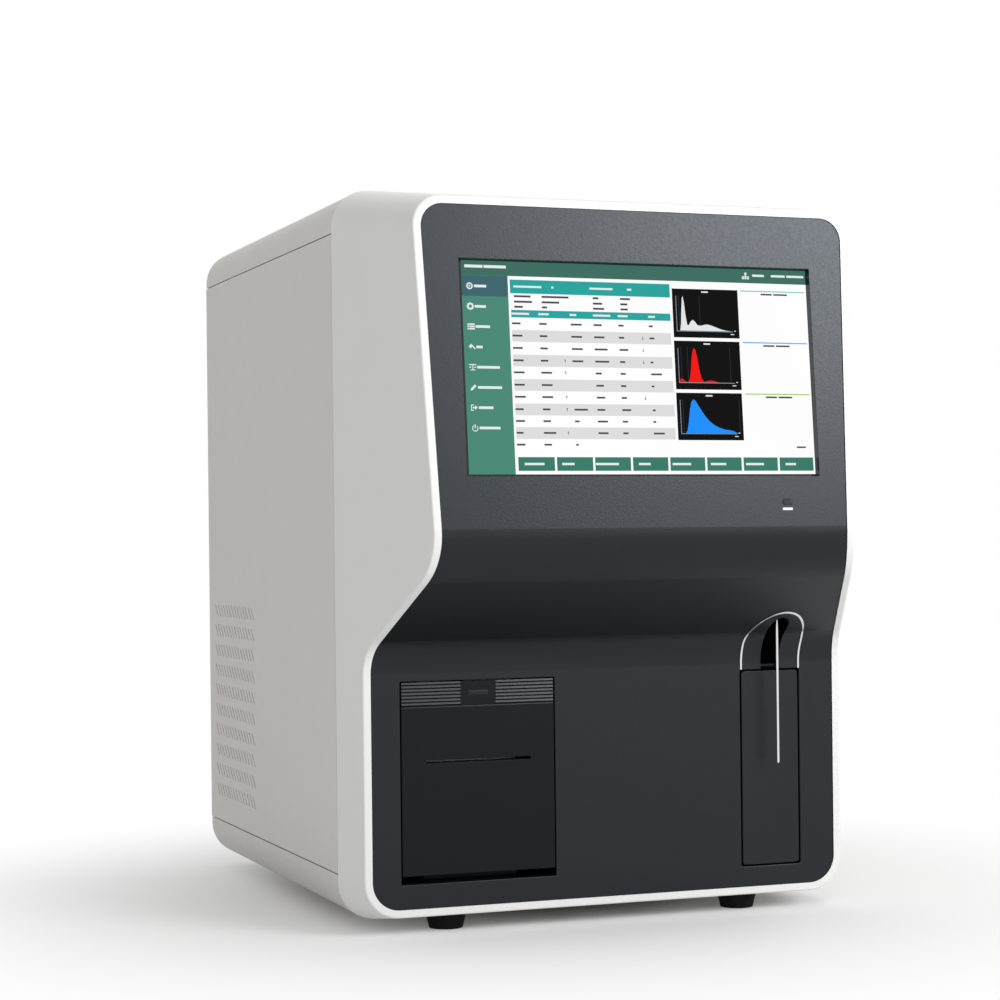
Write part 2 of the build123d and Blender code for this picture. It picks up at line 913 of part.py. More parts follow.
def make_printer_door():
    door = beveled_plate(door_x, (door_front, door_rear), door_z, door_gap)
    for x in (door_x[0], door_x[1] - door_cheek_thick):
        door += block((x, x + door_cheek_thick), (door_rear, door_rear + door_cheek), door_z)
    for x in (door_x[0] + hinge_ear / 2, door_x[1] - hinge_ear * 1.5):
        door += door_lug((x, x + hinge_ear), hinge_y, hinge_z, hinge_pin_radius + bay_wall)
    for x in (bay_middle - platen_span / 2 - lug_thick, bay_middle + platen_span / 2):
        door += door_lug((x, x + lug_thick), platen_y, platen_z, platen_shaft_radius + bay_wall)
    door += block(
        centred(bay_middle, catch_width),
        (door_rear - 1, door_rear + catch_reach),
        (catch_top - catch_height, catch_top),
    )
    door -= bar_x(door_x, hinge_y, hinge_z, hinge_pin_radius + running_gap)
    door -= bar_x(door_x, platen_y, platen_z, platen_shaft_radius + running_gap)
    for x in (door_x[0], door_x[1] - hinge_ear / 2):
        end = (x - 1, x + hinge_ear / 2 + 1)
        door -= bar_x(end, hinge_y, hinge_z, hinge_pin_radius + bay_wall + loose_gap)
    slot = block(
        centred(bay_middle, slot_width),
        (door_front - 1, door_rear + 1),
        centred(slot_height_z, slot_height),
    )
    band_z = (door_z[1] - grip_height, door_z[1] + 1)
    band = block((door_x[0] - 1, door_x[1] + 1), (door_front - 1, door_front + grip_recess), band_z)
    slopes = sloped_edge(slot_width, door_front, slot_height_z - slot_height / 2, slot_bevel)
    slopes += sloped_edge(bay_width, door_front, band_z[0], grip_recess)
    return door - slot - slopes - band - grip_grooves()


def beveled_plate(x, y, z, corner):
    """An upright plate with rounded corners and a bevel around its front face."""
    shoulder = y[0] + front_bevel
    plate = rounded_bar_y(x, (shoulder, y[1]), z, corner)
    at = (sum(x) / 2, sum(z) / 2)
    width = x[1] - x[0]
    height = z[1] - z[0]
    inner = max(corner - front_bevel, front_bevel / 2)
    face = RectangleRounded(width - 2 * front_bevel, height - 2 * front_bevel, inner)
    root = RectangleRounded(width, height, corner)
    return plate + loft([front_plane(y[0], *at) * face, front_plane(shoulder, *at) * root], ruled=True)


def door_lug(x, y, z, radius):
    """An ear behind the door, rounded about the axis that it carries."""
    return block(x, (door_rear - 1, y), centred(z, 2 * radius)) + bar_x(x, y, z, radius)


platen_span = platen_length + 2 * loose_gap
latch_floor = bay_ceiling - latch_height
catch_top = latch_floor - 2 * loose_gap


def grip_grooves():
    """The valleys between the ribs, each side of the plain push plate at the top of the door."""
    pitch = grip_height / grip_ribs
    bottom = door_front + grip_recess
    grooves = []
    spans = (
        (door_x[0] - 1, bay_middle - grip_plate_width / 2),
        (bay_middle + grip_plate_width / 2, door_x[1] + 1),
    )
    for row in range(grip_ribs):
        z = door_z[1] - (row + 0.5) * pitch
        for span in spans:
            groove = Rot(45, 0, 0) * Box(span[1] - span[0], grip_rib_side, grip_rib_side)
            grooves.append(Pos(sum(span) / 2, bottom, z) * groove)
    return grooves


def sloped_edge(width, y, z, size):
    """A bar cut along a front edge of the door that leaves a slope facing up."""
    side = size * math.sqrt(2)
    return Pos(bay_middle, y, z) * Rot(45, 0, 0) * Box(width, side, side)


def make_platen_roller():
    x = centred(bay_middle, platen_length)
    roller = bar_x(x, platen_y, platen_z, platen_radius)
    return roller - bar_x(x, platen_y, platen_z, platen_shaft_radius)


gear_x = (bay_middle - platen_span / 2 - lug_thick - loose_gap - gear_width,
          bay_middle - platen_span / 2 - lug_thick - loose_gap)


def make_platen_shaft():
    x = (gear_x[0], bay_middle + platen_span / 2 + lug_thick + loose_gap)
    return bar_x(x, platen_y, platen_z, platen_shaft_radius)


def make_platen_gear():
    outer = gear_module * (gear_teeth + 2) / 2
    root = gear_module * (gear_teeth - 2.5) / 2
    points = []
    for tooth in range(gear_teeth):
        for share, radius in ((-0.3, root), (-0.14, outer), (0.14, outer), (0.3, root)):
            angle = 2 * math.pi * (tooth + share) / gear_teeth
            points.append((radius * math.cos(angle), radius * math.sin(angle)))
    plane = Plane(origin=(gear_x[0], platen_y, platen_z), x_dir=(0, 1, 0), z_dir=(1, 0, 0))
    gear = extrude(plane * Polygon(*points, align=None), amount=gear_width)
    return gear - bar_x(gear_x, platen_y, platen_z, platen_shaft_radius)


def make_paper_roll():
    x = centred(bay_middle, roll_width)
    return bar_x(x, roll_y, roll_z, roll_radius) - bar_x(x, roll_y, roll_z, roll_core)


def make_print_head():
    z = centred(platen_z + head_gap, head_height)
    x = centred(bay_middle, head_width)
    head = block(x, (head_face, head_rear), z)
    pitch = (head_width - 2 * head_fin_inset) / (head_fins - 1)
    for step in range(head_fins):
        middle = x[0] + head_fin_inset + step * pitch
        head -= block(centred(middle, head_fin_gap), (head_face + head_fin_root, head_rear + 1), z)
    return head


head_rear = head_face + head_thick


def make_head_bracket():
    bracket = block(
        centred(bay_middle, head_width),
        (head_rear, head_rear + head_plate),
        (platen_z - head_height / 2, bay_ceiling),
    )
    bracket += block(
        centred(bay_middle, head_width),
        (head_rear, bay_back - bay_wall),
        (bay_ceiling - head_plate, bay_ceiling),
    )
    return bracket


def make_printer_motor():
    x = bay_right - 2 * motor_radius
    y = (head_rear + head_plate, head_rear + head_plate + motor_length)
    z = bay_ceiling - head_plate - motor_radius - motor_inset
    return bar_y(x, y, z, motor_radius) + bar_y(x, (y[1], y[1] + motor_stub), z, motor_radius / 3)


def make_door_latch():
    y = (head_rear - 1 - latch_depth, head_rear - 1)
    return block(centred(bay_middle, latch_width), y, (latch_floor, bay_ceiling))


# Sampling
key_width = key_recess_width - 2 * key_gap
key_z = (recess_low + key_gap, recess_top - key_gap)
key_x = centred(key_centre, key_width)
key_front = back(fascia_recess)
key_rear = key_front + key_thick
pivot_y = back(key_pivot_back)
pivot_z = key_z[1] - key_pivot_below
frame_x = centred(key_centre, key_recess_width)
frame_rear = back(key_frame_depth)


def make_aspirate_key():
    key = beveled_plate(key_x, (key_front, key_rear), key_z, key_corner)
    dish_radius = (key_width / 2) ** 2 / (2 * key_dish)
    key -= bar_z(key_centre, key_front - dish_radius + key_dish, key_z, dish_radius)
    for side in (-key_ear_offset, key_ear_offset):
        x = centred(key_centre + side, key_ear_thick)
        key += block(x, (key_rear - 1, pivot_y), centred(pivot_z, 2 * key_ear_radius))
        key += bar_x(x, pivot_y, pivot_z, key_ear_radius)
    pusher_y = (key_rear - 1, switch_face - loose_gap)
    key += block(centred(key_centre, key_pusher_width), pusher_y, centred(switch_z, key_pusher_height))
    return key - bar_x(key_x, pivot_y, pivot_z, hinge_pin_radius + running_gap)


switch_z = recess_low + switch_rise
switch_face = frame_rear - key_frame_wall - switch_depth


def make_key_frame():
    frame = block(
        centred(key_centre, key_recess_width, key_frame_wall),
        (bay_front, frame_rear),
        (recess_low - key_frame_wall, recess_top + 2 * key_frame_wall),
    )
    frame -= block(
        frame_x, (bay_front, frame_rear - key_frame_wall), (recess_low, recess_top + key_frame_wall)
    )
    return frame - make_key_pin()


def make_key_pin():
    ends = centred(key_centre, key_recess_width, key_frame_wall)
    return bar_x(ends, pivot_y, pivot_z, hinge_pin_radius)


def make_key_switch():
    face = frame_rear - key_frame_wall
    body_front = face - switch_body_depth
    body = block(centred(key_centre, switch_height), (body_front, face), centred(switch_z, switch_width))
    plunger_y = (body_front - switch_plunger, body_front)
    return body + bar_y(key_centre, plunger_y, switch_z, switch_plunger_radius)


def make_key_spring():
    """A folded leaf from the frame's rear wall to the back of the key."""
    foot_z = recess_low + spring_foot
    wall_y = frame_rear - key_frame_wall
    tip = (key_rear + loose_gap, foot_z + spring_rise - spring_drop)
    outline = [
        (wall_y, foot_z),
        (wall_y, foot_z + spring_rise),
        tip,
        (tip[0] + spring_thick, tip[1] - 3 * spring_thick),
        (wall_y - spring_thick, foot_z + spring_rise - 6 * spring_thick),
        (wall_y - spring_thick, foot_z),
    ]
    start = (key_centre - spring_width / 2, 0, 0)
    plane = Plane(origin=start, x_dir=(0, 1, 0), z_dir=(1, 0, 0))
    return extrude(plane * Polygon(*outline, align=None), amount=spring_width)


shroud_low = recess_top + 0.2


def make_probe_shroud():
    layer = fascia_slab(rim, fascia_recess, fascia_back)
    keep = through_front(arch(arch_trim + fascia_gap, shroud_low))
    opening = through_front(probe_slot(shroud_low - 1))
    return (layer & keep) - opening


def make_probe_trim():
    layer = fascia_slab(rim, fascia_recess - arch_trim_proud, fascia_back)
    band = arch(fascia_gap / 2, shroud_low) - arch(arch_trim, shroud_low)
    return layer & through_front(band)


probe_y = back(-probe_forward)
tip_z = base_z + probe_tip_z
lift_floor = base_z + wipe_floor_z
foot_top = lift_floor + lift_plate
lift_y = back(lift_back)
guide_y = back(guide_back)
carriage_low = foot_top + carriage_rest
lift_top = lift_floor + lift_height


def make_sample_probe():
    top = carriage_low + carriage_height + needle_grip
    needle = bar_z(key_centre, probe_y, (tip_z + probe_radius, top), probe_radius)
    return needle + Pos(key_centre, probe_y, tip_z + probe_radius / 2) * Cone(
        probe_radius / 2, probe_radius, probe_radius
    )


def make_wipe_block():
    z = (foot_top, foot_top + wipe_height)
    body = block(centred(key_centre, wipe_width), centred(probe_y, wipe_depth), z)
    return body - bar_z(key_centre, probe_y, z, probe_radius + probe_bore)


def make_lift_bracket():
    x = centred(key_centre, 2 * lift_half_width)
    front = guide_y - 2 * guide_radius - rod_edge
    plate = block((x[0], side_face), (lift_y, lift_y + lift_plate), (lift_floor, lift_top))
    foot = block(x, (front, lift_y), (lift_floor, foot_top))
    tongue_y = (probe_y - wipe_depth / 2, front)
    foot += block(centred(key_centre, wipe_width), tongue_y, (lift_floor, foot_top))
    head = block(x, (front, lift_y), (lift_top - lift_plate, lift_top))
    needle_z = (lift_floor - 1, foot_top + 1)
    screw_z = (lift_top - 2 * lift_plate, lift_top + 1)
    bracket = plate + foot + head
    bracket -= bar_z(key_centre, probe_y, needle_z, probe_radius + probe_clearance)
    return bracket - bar_z(key_centre, guide_y, screw_z, screw_radius + probe_clearance)


def make_guide_rods():
    z = (foot_top, lift_top - lift_plate)
    rods = [
        bar_z(key_centre + side * guide_spread, guide_y, z, guide_radius) for side in (-1, 1)
    ]
    return Compound(children=rods)


def make_lift_screw():
    z = (foot_top + loose_gap, lift_top - loose_gap)
    return bar_z(key_centre, guide_y, z, screw_radius)


def make_lift_motor():
    z = (lift_top, lift_top + lift_motor_height)
    x = centred(key_centre, lift_motor_side)
    y = centred(guide_y, lift_motor_side)
    return chamfer(block(x, y, z).edges().filter_by(Axis.Z), lift_motor_corner)


def make_probe_carriage():
    z = (carriage_low, carriage_low + carriage_height)
    width = 2 * guide_spread + 4 * guide_radius
    body = block(centred(key_centre, width), centred(guide_y, carriage_depth), z)
    arm_z = (z[0] + arm_inset, z[1] - arm_inset)
    arm_y = (probe_y - carriage_arm / 2, guide_y - carriage_depth / 2)
    body += block(centred(key_centre, carriage_arm), arm_y, arm_z)
    for side in (-1, 1):
        body -= bar_z(key_centre + side * guide_spread, guide_y, z, guide_radius + running_gap)
    body -= bar_z(key_centre, guide_y, z, screw_radius + loose_gap)
    return body - bar_z(key_centre, probe_y, z, probe_radius)


# Fluids
def make_bath(side):
    x = bath_centre_x + side * bath_spread
    y = bulkhead_face - bath_radius - bath_stand
    z = base_z + bath_z
    shape = bar_z(x, y, (z, z + bath_height), bath_radius)
    shape += Pos(x, y, z - bath_cone / 2) * Cone(bath_wall, bath_radius, bath_cone)
    shape += block(centred(x, bath_arm), (y, bulkhead_face), (z + bath_arm_z[0], z + bath_arm_z[1]))
    return shape - bar_z(x, y, (z + bath_wall, z + bath_height + 1), bath_radius - bath_wall)


barrel_y = bulkhead_face - barrel_radius - syringe_stand
barrel_z = (base_z + syringe_z, base_z + syringe_z + barrel_length)


def make_syringe_barrel():
    low, high = barrel_z
    clamp_z = (low + barrel_clamp_z[0], low + barrel_clamp_z[1])
    barrel = bar_z(syringe_x, barrel_y, barrel_z, barrel_radius)
    barrel += block(centred(syringe_x, 2 * barrel_radius), (barrel_y, bulkhead_face), clamp_z)
    barrel -= bar_z(syringe_x, barrel_y, (low - 1, high - barrel_cap), barrel_bore)
    return barrel - bar_z(syringe_x, barrel_y, (high - barrel_cap - 1, high + 1), barrel_port)


piston_top = barrel_z[1] - barrel_cap - piston_rest_gap
piston_low = piston_top - piston_length


def make_syringe_piston():
    return bar_z(syringe_x, barrel_y, (piston_low, piston_top), barrel_bore - running_gap)


def make_syringe_rod():
    rod = bar_z(syringe_x, barrel_y, (piston_low - rod_length, piston_low), rod_radius)
    return rod + bar_z(syringe_x, barrel_y, (piston_low - rod_head, piston_low), barrel_bore - 1)


def make_syringe_motor():
    rod_end = piston_low - rod_length
    top = rod_end + rod_engaged
    y = (barrel_y - syringe_motor_front, bulkhead_face)
    body = block(centred(syringe_x, syringe_motor_side), y, (top - syringe_motor_height, top))
    return body - bar_z(syringe_x, barrel_y, (rod_end - syringe_travel - 1, top + 1), rod_radius + loose_gap)


def make_vacuum_pump():
    y = (back(pump_back), back(pump_back) + pump_length)
    z = floor_z + pump_radius + pump_rise
    pump = bar_y(0.0, y, z, pump_radius)
    head_y = (y[0] - pump_head_length, y[0])
    pump += block(centred(0.0, 2.2 * pump_radius), head_y, (floor_z, z + pump_radius))
    return pump + block(centred(0.0, pump_radius), y, (floor_z, z))


manifold_top = floor_z + manifold_rise + manifold_height
valve_y = bulkhead_face - manifold_depth / 2


def make_valve_manifold():
    y = (bulkhead_face - manifold_depth, bulkhead_face)
    return block(centred(manifold_x, manifold_length), y, (floor_z + manifold_rise, manifold_top))


def make_solenoid_valves():
    pitch = manifold_length / valve_count
    cap_z = manifold_top + valve_height
    valves = []
    for step in range(valve_count):
        x = manifold_x - manifold_length / 2 + (step + 0.5) * pitch
        body = block(centred(x, valve_side), centred(valve_y, valve_side), (manifold_top, cap_z))
        valves.append(body + bar_z(x, valve_y, (cap_z, cap_z + valve_cap), valve_side / 3))
    return Compound(children=valves)


def make_waste_jar():
    y = back(jar_back)
    z = floor_z + jar_height
    jar = bar_z(jar_x, y, (floor_z, z), jar_radius)
    jar += bar_z(jar_x, y, (z, z + jar_step), jar_shoulder)
    return jar + bar_z(jar_x, y, (z + jar_step, z + 2 * jar_step), jar_neck)


# Electronics
def make_power_supply():
    width, length, height = supply_size
    y = (bulkhead_face + supply_back_gap, bulkhead_face + supply_back_gap + length)
    top = floor_z + height
    slot_y = (y[0] + supply_slot_inset, y[1] - supply_slot_inset)
    case = block(supply_x, y, (floor_z, top))
    for step in range(supply_slots):
        middle = supply_x[0] + supply_slot_inset + step * supply_slot_pitch
        case -= block(centred(middle, supply_slot_width), slot_y, (top - supply_slot_width, top + 1))
    return case


def make_main_board():
    length, height = board_size
    x = (standoff_length - side_face, standoff_length - side_face + board_thick)
    y = (back(board_back), back(board_back) + length)
    z = (base_z + board_low, base_z + board_low + height)
    board = block(x, y, z)
    for chip_y, chip_z, size in board_chips:
        low_y = y[0] + chip_y
        low_z = z[0] + chip_z
        board += block((x[1], x[1] + chip_height), (low_y, low_y + size), (low_z, low_z + size))
    out, wide, tall = plug_size
    for step in range(plug_rows):
        low = z[0] + plug_inset + step * plug_pitch
        board += block((x[1], x[1] + out), (y[1] - plug_inset, y[1] - plug_inset + wide), (low, low + tall))
    return board


def make_board_standoffs():
    length, height = board_size
    ends = (-side_face, standoff_length - side_face)
    posts = []
    for y in (standoff_inset, length - standoff_inset):
        for z in (standoff_inset, height - standoff_inset):
            posts.append(bar_x(ends, back(board_back) + y, base_z + board_low + z, standoff_radius))
    return Compound(children=posts)


# Rear fittings
fan_y = (rear_y - skin - fan_thick, rear_y - skin)


def make_fan_frame():
    frame = block(centred(fan_x, fan_side), fan_y, centred(fan_z, fan_side))
    frame = fillet(frame.edges().filter_by(Axis.Y), fan_corner)
    frame -= bar_y(fan_x, (fan_y[0] - 1, fan_y[1] + 1), fan_z, fan_bore)
    hub = bar_y(fan_x, (fan_y[0], fan_y[0] + fan_web), fan_z, fan_hub)
    for step in range(4):
        arm = Pos(fan_bore / 2, 0, 0) * Box(fan_bore + 2, fan_web, fan_arm)
        hub += Pos(fan_x, fan_y[0] + fan_web / 2, fan_z) * Rot(0, 45 + 90 * step, 0) * arm
    return frame + hub


def make_fan_rotor():
    y = (fan_y[0] + fan_web + loose_gap, fan_y[1] - fan_recess)
    rotor = bar_y(fan_x, y, fan_z, fan_hub)
    tip = fan_bore - fan_tip_gap
    length = tip - fan_hub + 2
    middle = Pos(fan_x, sum(y) / 2, fan_z)
    blade = Rot(blade_angle, 0, 0) * Box(length, blade_thick, blade_chord)
    for step in range(fan_blades):
        turn = Rot(0, 360 / fan_blades * step, 0)
        rotor += middle * turn * Pos((tip + fan_hub) / 2 - 1, 0, 0) * blade
    return rotor & bar_y(fan_x, y, fan_z, tip)


def make_fan_guard():
    y = (rear_y, rear_y + 2 * guard_wire)
    guard = bar_y(fan_x, y, fan_z, guard_hub)
    for ring in range(guard_rings):
        radius = guard_first + ring * (fan_bore - guard_wire - guard_first) / (guard_rings - 1)
        hoop = bar_y(fan_x, y, fan_z, radius + guard_wire)
        guard += hoop - bar_y(fan_x, y, fan_z, radius - guard_wire)
    corner = fan_side / 2 - guard_screw_inset
    length = math.hypot(corner, corner)
    for step in range(4):
        spoke = Pos(length / 2, 0, 0) * Box(length, 2 * guard_wire, 2 * guard_wire)
        guard += Pos(fan_x, sum(y) / 2, fan_z) * Rot(0, 45 + 90 * step, 0) * spoke
    for x in (fan_x - corner, fan_x + corner):
        for z in (fan_z - corner, fan_z + corner):
            guard += bar_y(x, y, z, guard_eye)
    return guard


def make_power_inlet():
    bottom = rear_y - inlet_depth
    x = centred(inlet_x, inlet_width)
    body = block(x, (bottom, rear_y), centred(inlet_z, inlet_height))
    rim_z = centred(inlet_z, inlet_height + 2 * inlet_rim)
    body += block(centred(inlet_x, inlet_width + 2 * inlet_rim), (rear_y, rear_y + inlet_face), rim_z)
    socket_y = (bottom + inlet_rim, rear_y + inlet_face + 1)
    body -= block(centred(inlet_x, inlet_socket[0]), socket_y, centred(inlet_z, inlet_socket[1]))
    pin_y = (bottom + inlet_rim, rear_y - 1)
    for x, z in inlet_pins:
        body += block(centred(inlet_x + x, inlet_pin[0]), pin_y, centred(inlet_z + z, inlet_pin[1]))
    return body


rocker_y = rear_y - rocker_set_back


def make_switch_body():
    width = rocker_width + 2 * skin
    height = rocker_height + 2 * skin
    body = block(centred(rocker_x, width), (rear_y - inlet_depth, rear_y), centred(inlet_z, height))
    rim_z = centred(inlet_z, height + 2 * switch_rim)
    body += block(centred(rocker_x, width + 2 * switch_rim), (rear_y, rear_y + switch_rim), rim_z)
    pit_y = (rear_y - switch_pit, rear_y + switch_rim + 1)
    body -= block(centred(rocker_x, rocker_width), pit_y, centred(inlet_z, rocker_height + 2))
    for x in centred(rocker_x, rocker_width):
        body += bar_x(centred(x, rocker_stud), rocker_y, inlet_z, rocker_stud_radius)
    return body


def make_switch_rocker():
    """A rocker with two faces that meet in a shallow V, one side pressed in at rest."""
    half = rocker_height / 2 - rocker_end_gap
    crest = rocker_front + half * math.tan(math.radians(rocker_tilt))
    points = [
        (-rocker_rear, -half),
        (crest, -half),
        (rocker_front, 0.0),
        (crest, half),
        (-rocker_rear, half),
    ]
    start = (rocker_x - rocker_width / 2 + rocker_gap, rocker_y, inlet_z)
    plane = Plane(origin=start, x_dir=(0, 1, 0), z_dir=(1, 0, 0))
    body = extrude(plane * Polygon(*points, align=None), amount=rocker_width - 2 * rocker_gap)
    pivot = bar_x(centred(rocker_x, case_width), rocker_y, inlet_z, rocker_stud_radius + running_gap)
    tilt = Pos(0, rocker_y, inlet_z) * Rot(rocker_tilt, 0, 0) * Pos(0, -rocker_y, -inlet_z)
    return tilt * (body - pivot)


def make_fluid_connectors():
    connectors = []
    for x in nipple_places():
        tube = bar_y(x, (rear_y - nipple_inside, rear_y + fitting_reach), nipple_z, nipple_radius)
        for start in (rear_y, rear_y - skin - nut_thick):
            nut = front_plane(start + nut_thick, x, nipple_z) * RegularPolygon(nut_radius, 6)
            tube += extrude(nut, amount=nut_thick)
        bore_y = (rear_y - nipple_inside - 1, rear_y + fitting_reach + 1)
        connectors.append(tube - bar_y(x, bore_y, nipple_z, nipple_bore))
    return Compound(children=connectors)


def make_interface_board():
    x = (port_board_x, port_board_x + port_board_width)
    board_y = (rear_y - port_board_depth, rear_y - skin - 1)
    board = block(x, board_y, (port_board_z - board_thick, port_board_z))
    for start, width, height in port_shells:
        left = x[0] + start
        top = port_board_z + height
        shell = block((left, left + width), (rear_y - port_depth, rear_y), (port_board_z, top))
        shell -= block(
            (left + port_wall, left + width - port_wall),
            (rear_y - port_socket, rear_y + 1),
            (port_board_z + port_wall, top - port_wall),
        )
        board += shell
    for post_x in (x[0] + port_post_inset, x[1] - port_post_inset):
        post_z = (floor_z, port_board_z - board_thick)
        board += bar_z(post_x, board_y[0] + port_post_inset, post_z, standoff_radius)
    return board


pieces = {
    "front_housing": make_front_housing,
    "front_fascia": make_front_fascia,
    "top_cover": make_top_cover,
    "base_shell": make_base,
    "left_side_panel": lambda: make_side_panel(-1),
    "right_side_panel": lambda: make_side_panel(1),
    "rear_panel": make_rear_panel,
    "rubber_feet": make_feet,
    "case_screws": make_case_screws,
    "inner_chassis": make_chassis,
    "touch_glass": make_touch_glass,
    "display_panel": make_display_panel,
    "display_bracket": make_display_bracket,
    "power_lamp_lens": make_power_lamp_lens,
    "printer_frame": make_printer_frame,
    "printer_door": make_printer_door,
    "door_hinge_pin": make_door_hinge_pin,
    "platen_roller": make_platen_roller,
    "platen_shaft": make_platen_shaft,
    "platen_gear": make_platen_gear,
    "paper_roll": make_paper_roll,
    "print_head": make_print_head,
    "head_bracket": make_head_bracket,
    "printer_motor": make_printer_motor,
    "door_latch": make_door_latch,
    "aspirate_key": make_aspirate_key,
    "key_frame": make_key_frame,
    "key_pin": make_key_pin,
    "key_switch": make_key_switch,
    "key_spring": make_key_spring,
    "probe_shroud": make_probe_shroud,
    "probe_trim": make_probe_trim,
    "sample_probe": make_sample_probe,
    "wipe_block": make_wipe_block,
    "lift_bracket": make_lift_bracket,
    "guide_rods": make_guide_rods,
    "lift_screw": make_lift_screw,
    "lift_motor": make_lift_motor,
    "probe_carriage": make_probe_carriage,
    "white_cell_bath": lambda: make_bath(-1),
    "red_cell_bath": lambda: make_bath(1),
    "syringe_barrel": make_syringe_barrel,
    "syringe_piston": make_syringe_piston,
    "syringe_rod": make_syringe_rod,
    "syringe_motor": make_syringe_motor,
    "vacuum_pump": make_vacuum_pump,
    "valve_manifold": make_valve_manifold,
    "solenoid_valves": make_solenoid_valves,
    "waste_jar": make_waste_jar,
    "power_supply": make_power_supply,
    "main_board": make_main_board,
    "board_standoffs": make_board_standoffs,
    "fan_frame": make_fan_frame,
    "fan_rotor": make_fan_rotor,
    "fan_guard": make_fan_guard,
    "power_inlet": make_power_inlet,
    "switch_body": make_switch_body,
    "switch_rocker": make_switch_rocker,
    "fluid_connectors": make_fluid_connectors,
    "interface_board": make_interface_board,
}

os.makedirs("parts", exist_ok=True)
for name, make in pieces.items():
    export_step(make(), f"parts/{name}.step")
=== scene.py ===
import bmesh
import bpy
import json
import math
from mathutils import Matrix, Vector
from mathutils.geometry import tessellate_polygon


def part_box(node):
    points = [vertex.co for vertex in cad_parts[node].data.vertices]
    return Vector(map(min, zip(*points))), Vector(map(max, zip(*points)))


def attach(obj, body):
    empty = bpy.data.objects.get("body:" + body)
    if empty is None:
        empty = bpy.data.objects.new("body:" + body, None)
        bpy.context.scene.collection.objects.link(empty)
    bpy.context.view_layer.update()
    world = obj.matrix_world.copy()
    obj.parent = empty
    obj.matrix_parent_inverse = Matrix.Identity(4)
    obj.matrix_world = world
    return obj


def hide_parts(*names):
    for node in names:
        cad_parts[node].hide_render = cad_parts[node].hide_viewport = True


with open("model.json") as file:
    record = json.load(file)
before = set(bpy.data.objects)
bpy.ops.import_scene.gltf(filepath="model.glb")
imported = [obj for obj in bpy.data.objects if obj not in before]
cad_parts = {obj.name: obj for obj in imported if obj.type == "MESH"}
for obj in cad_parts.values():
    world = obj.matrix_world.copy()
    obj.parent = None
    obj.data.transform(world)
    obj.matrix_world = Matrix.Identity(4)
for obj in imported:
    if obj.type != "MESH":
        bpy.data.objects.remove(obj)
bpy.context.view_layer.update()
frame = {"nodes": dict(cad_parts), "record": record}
nodes = frame["nodes"]
MM = 0.001
GRAIN_DEPTH = 0.04 * MM
CORNER_SIGNS = ((-1, -1), (1, -1), (1, 1), (-1, 1))   # the corners of a rectangle, in turn

# Camera: the photograph's viewpoint, level, with a slight roll
YAW = math.radians(20.31)
ROLL = math.radians(0.62)
CAMERA_AT = Vector((-0.5558, -1.4618, 0.2357))
FOCAL_MM = 84.62
SENSOR_MM = 36.0
SHIFT_UP = 0.035
NEAREST, FURTHEST = 0.05, 60

# What noise is read as lowest and highest, and the roughness of a clear coat
NOISE_LOW, NOISE_HIGH = 0.3, 0.7
COAT_ROUGHNESS = 0.1
BRUSHED_SCALE = (1.0, 1.0, 0.05)   # drawn out along Z


def make_camera():
    ahead = Vector((math.sin(YAW), math.cos(YAW), 0))
    level_right = Vector((math.cos(YAW), -math.sin(YAW), 0))
    level_down = Vector((0, 0, -1))
    right = math.cos(ROLL) * level_right + math.sin(ROLL) * level_down
    up = math.sin(ROLL) * level_right - math.cos(ROLL) * level_down
    data = bpy.data.cameras.new("camera")
    data.sensor_width = SENSOR_MM
    data.sensor_fit = "HORIZONTAL"
    data.lens = FOCAL_MM
    data.shift_y = SHIFT_UP
    data.clip_start = NEAREST
    data.clip_end = FURTHEST
    camera = bpy.data.objects.new("camera", data)
    bpy.context.scene.collection.objects.link(camera)
    turn = Matrix((right, up, -ahead)).transposed().to_4x4()
    camera.matrix_world = Matrix.Translation(CAMERA_AT) @ turn
    bpy.context.scene.camera = camera


# Materials
def new_material(name):
    material = bpy.data.materials.new(name)
    material.use_nodes = True
    tree = material.node_tree
    return material, tree, tree.nodes["Principled BSDF"]


def add(tree, kind, **values):
    node = tree.nodes.new(kind)
    for key, value in values.items():
        setattr(node, key, value)
    return node


def object_noise(tree, scale, detail=2.0, roughness=0.5):
    where = add(tree, "ShaderNodeTexCoord")
    noise = add(tree, "ShaderNodeTexNoise")
    noise.inputs["Scale"].default_value = scale
    noise.inputs["Detail"].default_value = detail
    noise.inputs["Roughness"].default_value = roughness
    tree.links.new(where.outputs["Object"], noise.inputs["Vector"])
    return noise


def spread(tree, source, low, high):
    """A number or a colour that runs from low to high as the noise does."""
    if isinstance(low, tuple):
        ramp = add(tree, "ShaderNodeValToRGB")
        ramp.color_ramp.elements[0].position = NOISE_LOW
        ramp.color_ramp.elements[0].color = (*low, 1)
        ramp.color_ramp.elements[1].position = NOISE_HIGH
        ramp.color_ramp.elements[1].color = (*high, 1)
        tree.links.new(source, ramp.inputs["Fac"])
        return ramp.outputs["Color"]
    span = add(tree, "ShaderNodeMapRange")
    span.inputs["From Min"].default_value = NOISE_LOW
    span.inputs["From Max"].default_value = NOISE_HIGH
    span.inputs["To Min"].default_value = low
    span.inputs["To Max"].default_value = high
    tree.links.new(source, span.inputs["Value"])
    return span.outputs["Result"]


